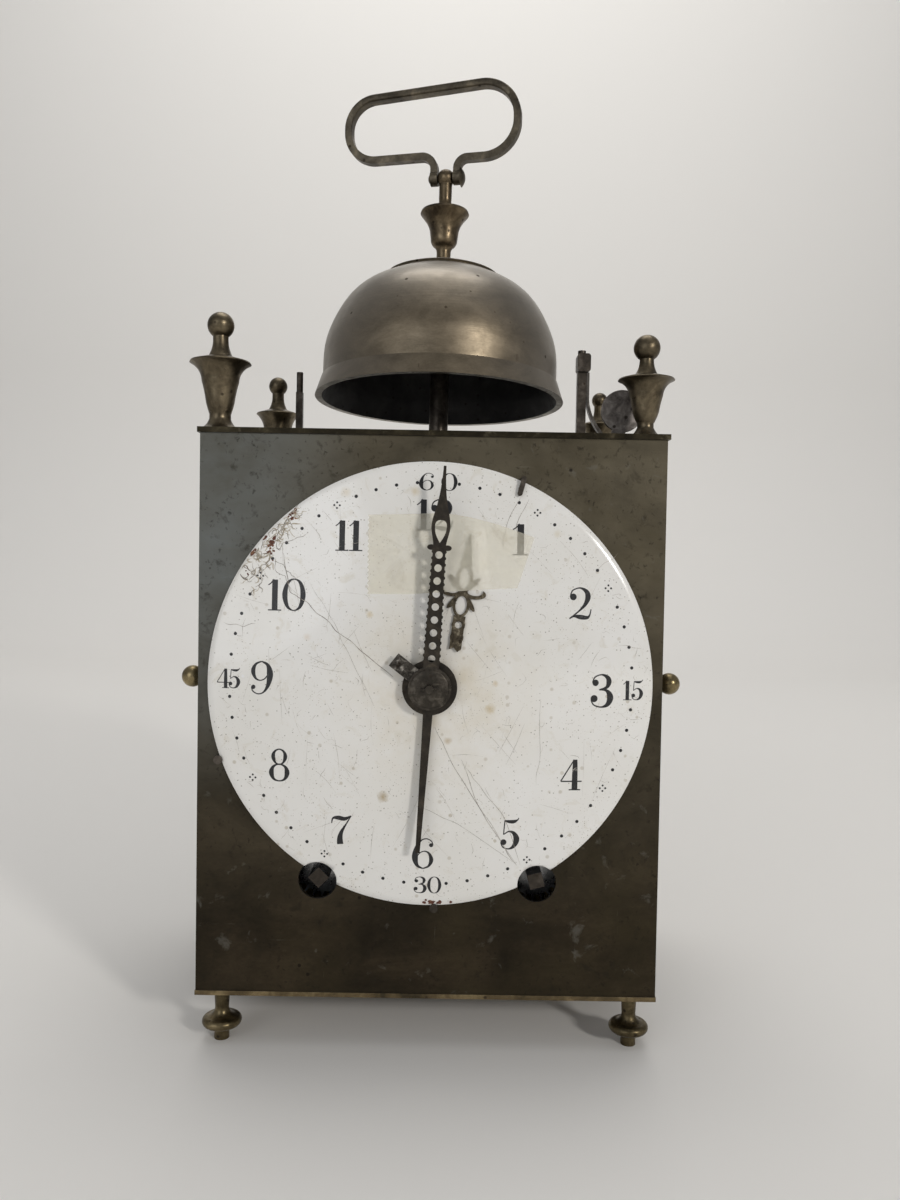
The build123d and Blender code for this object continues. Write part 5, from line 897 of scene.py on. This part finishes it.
# Cracks are lines of places from the dial's centre, each with its width, in mm.
wearSettings = {
    "seed": 7, "crackSway": 0.35,
    "cracks": [
        ([(-41, 36), (-39, 25.5), (-34, 22.5), (-29.5, 18.5), (-24, 13.5), (-17, 8.0), (-10, 2.5)], 0.16),
        ([(25, -50), (19, -41), (12, -30), (4.5, -17), (1.5, -11)], 0.13),
        ([(25, -50), (14, -33), (9, -20)], 0.10), ([(26, -50), (21, -36), (14, -27), (10, -22)], 0.09),
        ([(24, -49), (8, -38), (-4, -33)], 0.08), ([(26.5, 52), (23, 44), (25, 36)], 0.10),
        ([(24.5, 53), (20.5, 45), (19.5, 38)], 0.10), ([(-57.5, 16.5), (-52, 15.5), (-48.5, 16.4)], 0.10),
        ([(52, 12), (58.5, 11.2)], 0.09), ([(46, 33), (51.5, 37.5)], 0.08),
        ([(30.5, -3), (30.7, -18), (29.8, -27)], 0.07),
        ([(-42.2, 38.4), (-38.5, 39.6), (-34.4, 41.7)], 0.12),
        ([(-43.2, 40.7), (-41.6, 43.2), (-39.6, 45.6)], 0.16),
        ([(-43.5, 34.5), (-41, 32.8), (-39, 30.6), (-37, 28.7)], 0.12),
        ([(-43.0, 41), (-39.5, 46.5), (-37.3, 49.5)], 0.14),
        ([(-43.2, 34.8), (-43.0, 31.0), (-40.3, 29.6), (-38.5, 25.5)], 0.10),
        ([(-33.5, 28), (-27.8, 19), (-22.5, 9), (-15, -6)], 0.06),
    ],
    # number, how far out they start, direction and its spread in radians, lengths, ring they keep to, widths
    "scratches": {"count": 190, "spread": 58, "way": (1.9, 0.7), "lengths": (1.5, 3, 5, 9, 14),
                  "ring": (9, 60), "widths": (0.05, 0.11)},
    # middle, spread, number and size of rusty spots, in mm
    "rust": [
        (-39.5, 47.2, 1.0, 0.8, 8, 0.5), (-44.6, 37.4, 0.5, 1.8, 16, 0.6), (-49.6, 36.6, 0.8, 0.7, 8, 0.5),
        (-46.8, 40.6, 0.7, 0.6, 6, 0.4), (1.5, -61.0, 2.1, 0.25, 16, 0.55), (-50.8, 31.0, 0.6, 1.2, 4, 0.3),
    ],
}


# How far the wear lies off the enamel, in mm
wearLift = {"scratch": 0.014, "crack": 0.03, "curl": 0.035, "rust": 0.05}


def lineOnDial(bm, points, width, lift):
    # A line through the points, narrower at its ends.
    line = [(x, z, width * (0.35 if i in (0, len(points) - 1) else 1)) for i, (x, z) in enumerate(points)]
    inkStroke(bm, throughPoints(line, 8), lambda px, pz: onDial(px, pz, lift), False)


def brokenGround(chance):
    # A place between the dial's edge and the broken ground at its upper left: degrees and radius.
    clock = chance.uniform(-62, -37)
    return clock, chance.uniform(54.5 + max(0, clock + 58) * 0.24, 61.2)


def wholeDial(chance):
    # A place anywhere on the enamel, most often in its outer half.
    return chance.uniform(0, 360), 60 * chance.uniform(0.04, 1) ** 0.42


def heldIn(px, pz, reach):
    # The place, moved in if it lies further than reach from the dial's centre, in mm.
    far = math.hypot(px, pz)
    return (px * reach / far, pz * reach / far) if far > reach else (px, pz)


def crumple(chance, count, widths, pick):
    # Short curled lines at places that pick gives.
    bm = bmesh.new()
    for _ in range(count):
        clock, radius = pick(chance)
        px, pz = radius * math.sin(math.radians(clock)), radius * math.cos(math.radians(clock))
        way = math.radians(chance.uniform(0, 360))
        points = []
        for _ in range(4):
            px, pz = heldIn(px, pz, 61.4)
            points.append((px, pz))
            way += chance.uniform(-1.3, 1.3)
            step = chance.uniform(0.5, 1.3)
            px, pz = px + step * math.cos(way), pz + step * math.sin(way)
        lineOnDial(bm, points, chance.uniform(*widths), wearLift["curl"])
    return bm


def makeWear():
    chance = random.Random(wearSettings["seed"])
    bm = bmesh.new()
    sway = wearSettings["crackSway"]
    for points, width in wearSettings["cracks"]:
        rough = [points[0]]
        for (ax, az), (bx, bz) in zip(points, points[1:]):
            for share in (0.33, 0.66):
                px = ax + (bx - ax) * share + chance.uniform(-sway, sway)
                rough.append((px, az + (bz - az) * share + chance.uniform(-sway, sway)))
            rough.append((bx, bz))
        lineOnDial(bm, rough, width, wearLift["crack"])
    pieces = [linkMesh("enamelCracks", bm, finish["crackLine"], 60)]
    bm = bmesh.new()
    scratch = wearSettings["scratches"]
    inner, outer = scratch["ring"]
    for _ in range(scratch["count"]):
        radius, turn = scratch["spread"] * math.sqrt(chance.random()), chance.uniform(0, 2 * math.pi)
        cx, cz = radius * math.cos(turn), radius * math.sin(turn)
        way = chance.gauss(*scratch["way"])
        reach = chance.choice(scratch["lengths"]) * chance.uniform(0.6, 1.2)
        ends = [(cx + s * reach / 2 * math.cos(way), cz + s * reach / 2 * math.sin(way)) for s in (-1, 1)]
        if max(math.hypot(*end) for end in ends) > outer or min(math.hypot(*end) for end in ends) < inner:
            continue
        middle = (cx + chance.uniform(-0.5, 0.5), cz + chance.uniform(-0.5, 0.5))
        lineOnDial(bm, [ends[0], middle, ends[1]], chance.uniform(*scratch["widths"]), wearLift["scratch"])
    pieces.append(linkMesh("enamelScratches", bm, finish["scratch"], 60))
    for name, kind, count, widths, pick in (
        ("enamelCrumpleDark", "crackLine", 46, (0.12, 0.26), brokenGround),
        ("enamelCrumplePale", "beigeLine", 74, (0.12, 0.34), brokenGround),
        ("enamelHairs", "scratch", 90, (0.05, 0.10), wholeDial),
    ):
        pieces.append(linkMesh(name, crumple(chance, count, widths, pick), finish[kind], 60))
    bm = bmesh.new()
    for cx, cz, spreadX, spreadZ, count, size in wearSettings["rust"]:
        for _ in range(count):
            px, pz = heldIn(chance.gauss(cx, spreadX), chance.gauss(cz, spreadZ), 61.3)
            reach = size * chance.uniform(0.5, 1.3)
            bm.faces.new([
                bm.verts.new(onDial(px + reach * chance.uniform(0.5, 1.1) * math.cos(k * math.pi / 5),
                                    pz + reach * chance.uniform(0.5, 1.1) * math.sin(k * math.pi / 5),
                                    wearLift["rust"]))
                for k in range(10)
            ])
    pieces.append(linkMesh("enamelRust", bm, finish["rustSpot"], 60))
    for piece in pieces:
        for polygon in piece.data.polygons:
            if polygon.normal.y > 0:
                polygon.flip()
        layOnDial(piece)


makeWear()
print("stage: dial, figures and wear")


# The strip of tape over the loose hand
tapeSettings = {
    "top": [(-17.6, 46.9), (-6, 47.3), (4.6, 47.5), (16.4, 45.2), (28.1, 41.4)],
    "bottom": [(-17.4, 25.2), (-10, 25.3), (-3.2, 25.5), (12, 26.7), (23.5, 27.4)],
    "rows": 30, "seed": 3, "tooth": 0.22, "tear": 0.18,
    # Off the enamel, in mm: everywhere, more over the hand, half the hand's width there and what it loses
    # towards the tip, the slope beside it, and the ripple.
    "lift": 0.22, "rise": 0.93, "handHalf": 4.6, "taper": 3.4, "slope": 3.2, "ripple": 0.05,
    "pale": (0.70, 0.67, 0.55), "color": (0.70, 0.665, 0.55), "brown": (0.50, 0.45, 0.33),
    "alpha": 0.50,
}
handLine = [(8.6, 26.0), (10.5, 42.0)]   # the covered part of the loose hand, from its crossing to its tip


def tapeLift(px, pz):
    # How far the tape stands off the enamel: it is held up where the hand lies under it.
    (ax, az), (bx, bz) = handLine
    share = ((px - ax) * (bx - ax) + (pz - az) * (bz - az)) / ((bx - ax) ** 2 + (bz - az) ** 2)
    share = min(max(share, 0), 1)
    off = math.hypot(px - ax - share * (bx - ax), pz - az - share * (bz - az))
    half = tapeSettings["handHalf"] - tapeSettings["taper"] * share
    fall = 1 - min(max((off - half) / tapeSettings["slope"], 0), 1)
    ripple = tapeSettings["ripple"] * math.sin(px * 1.3 + pz * 0.4) * math.sin(pz * 0.9)
    return tapeSettings["lift"] + tapeSettings["rise"] * fall * fall * (3 - 2 * fall) + ripple * fall


def makeTape():
    top, bottom = throughPoints(tapeSettings["top"], 14), throughPoints(tapeSettings["bottom"], 14)
    rows, tooth = tapeSettings["rows"], tapeSettings["tooth"]
    chance = random.Random(tapeSettings["seed"])
    bm = bmesh.new()
    grid = []
    for i, (a, b) in enumerate(zip(top, bottom)):
        tear = tapeSettings["tear"]
        torn = chance.uniform(-tear, tear) if i in (0, len(top) - 1) else 0
        column = []
        for j in range(rows + 1):
            share = j / rows
            jag = (tooth if j % 2 else -tooth) if i == 0 else torn
            px, pz = a[0] + (b[0] - a[0]) * share + jag, a[1] + (b[1] - a[1]) * share
            column.append(bm.verts.new(onDial(px, pz, tapeLift(px, pz))))
        grid.append(column)
    for first, second in zip(grid, grid[1:]):
        for j in range(rows):
            bm.faces.new((first[j], first[j + 1], second[j + 1], second[j]))
    for face in bm.faces:
        face.normal_update()
    if sum(face.normal.y for face in bm.faces) > 0:
        bmesh.ops.reverse_faces(bm, faces=bm.faces)
    material, tree, shader = startMaterial("agedTape", tapeSettings["color"], 0, 0.42)
    clouds = noiseValue(tree, 160, 5, 0.65, warp=0.5)
    grit = times(tree, spotValue(tree, 1100, 0.30, 0.55, (1, 0.02, 1)), placeValue(tree, "X", 6, -16))
    tones = [tapeSettings[key] for key in ("pale", "color", "brown")]
    tone = rampColor(tree, clouds, list(zip((0.3, 0.55, 0.75), tones)))
    tone = mixColor(tree, times(tree, grit, 0.55), tone, (0.26, 0.22, 0.15))
    alpha = tapeSettings["alpha"]
    veil = mapValue(tree, noiseValue(tree, 90, 4), 0.3, 0.7, alpha - 0.12, alpha + 0.14)
    feed(tree, shader, {"Base Color": tone, "Alpha": veil})
    addBump(tree, shader, [(noiseValue(tree, 300, 4), 0.03)])
    piece = linkMesh("agedTape", bm, material, 60)
    piece.visible_shadow = False
    settle(piece, "tape")


makeTape()


# Hub: the disc on the minute hand, as rings of (radius, how far its face stands out), in mm
hubRings = [
    (5.85, 0.0), (5.85, 0.10), (5.6, 0.16), (5.25, 0.16), (5.1, 0.06),
    (4.95, 0.13), (3.0, 0.13), (2.6, 0.17), (1.2, 0.17),
]


def makeHub(around=72):
    bm = bmesh.new()
    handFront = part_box("minute_hand")[0].y
    joinRings(bm, turnedRings(bm, [(radius, handFront - out * mm) for radius, out in hubRings], around))
    bm.normal_update()
    if sum(face.normal.y * face.calc_area() for face in bm.faces) > 0:
        bmesh.ops.reverse_faces(bm, faces=bm.faces)
    piece = linkMesh("hubDisc", bm, finish["discSteel"], 30)
    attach(piece, "minute_hand")


makeHub()
print("stage: tape and hub")
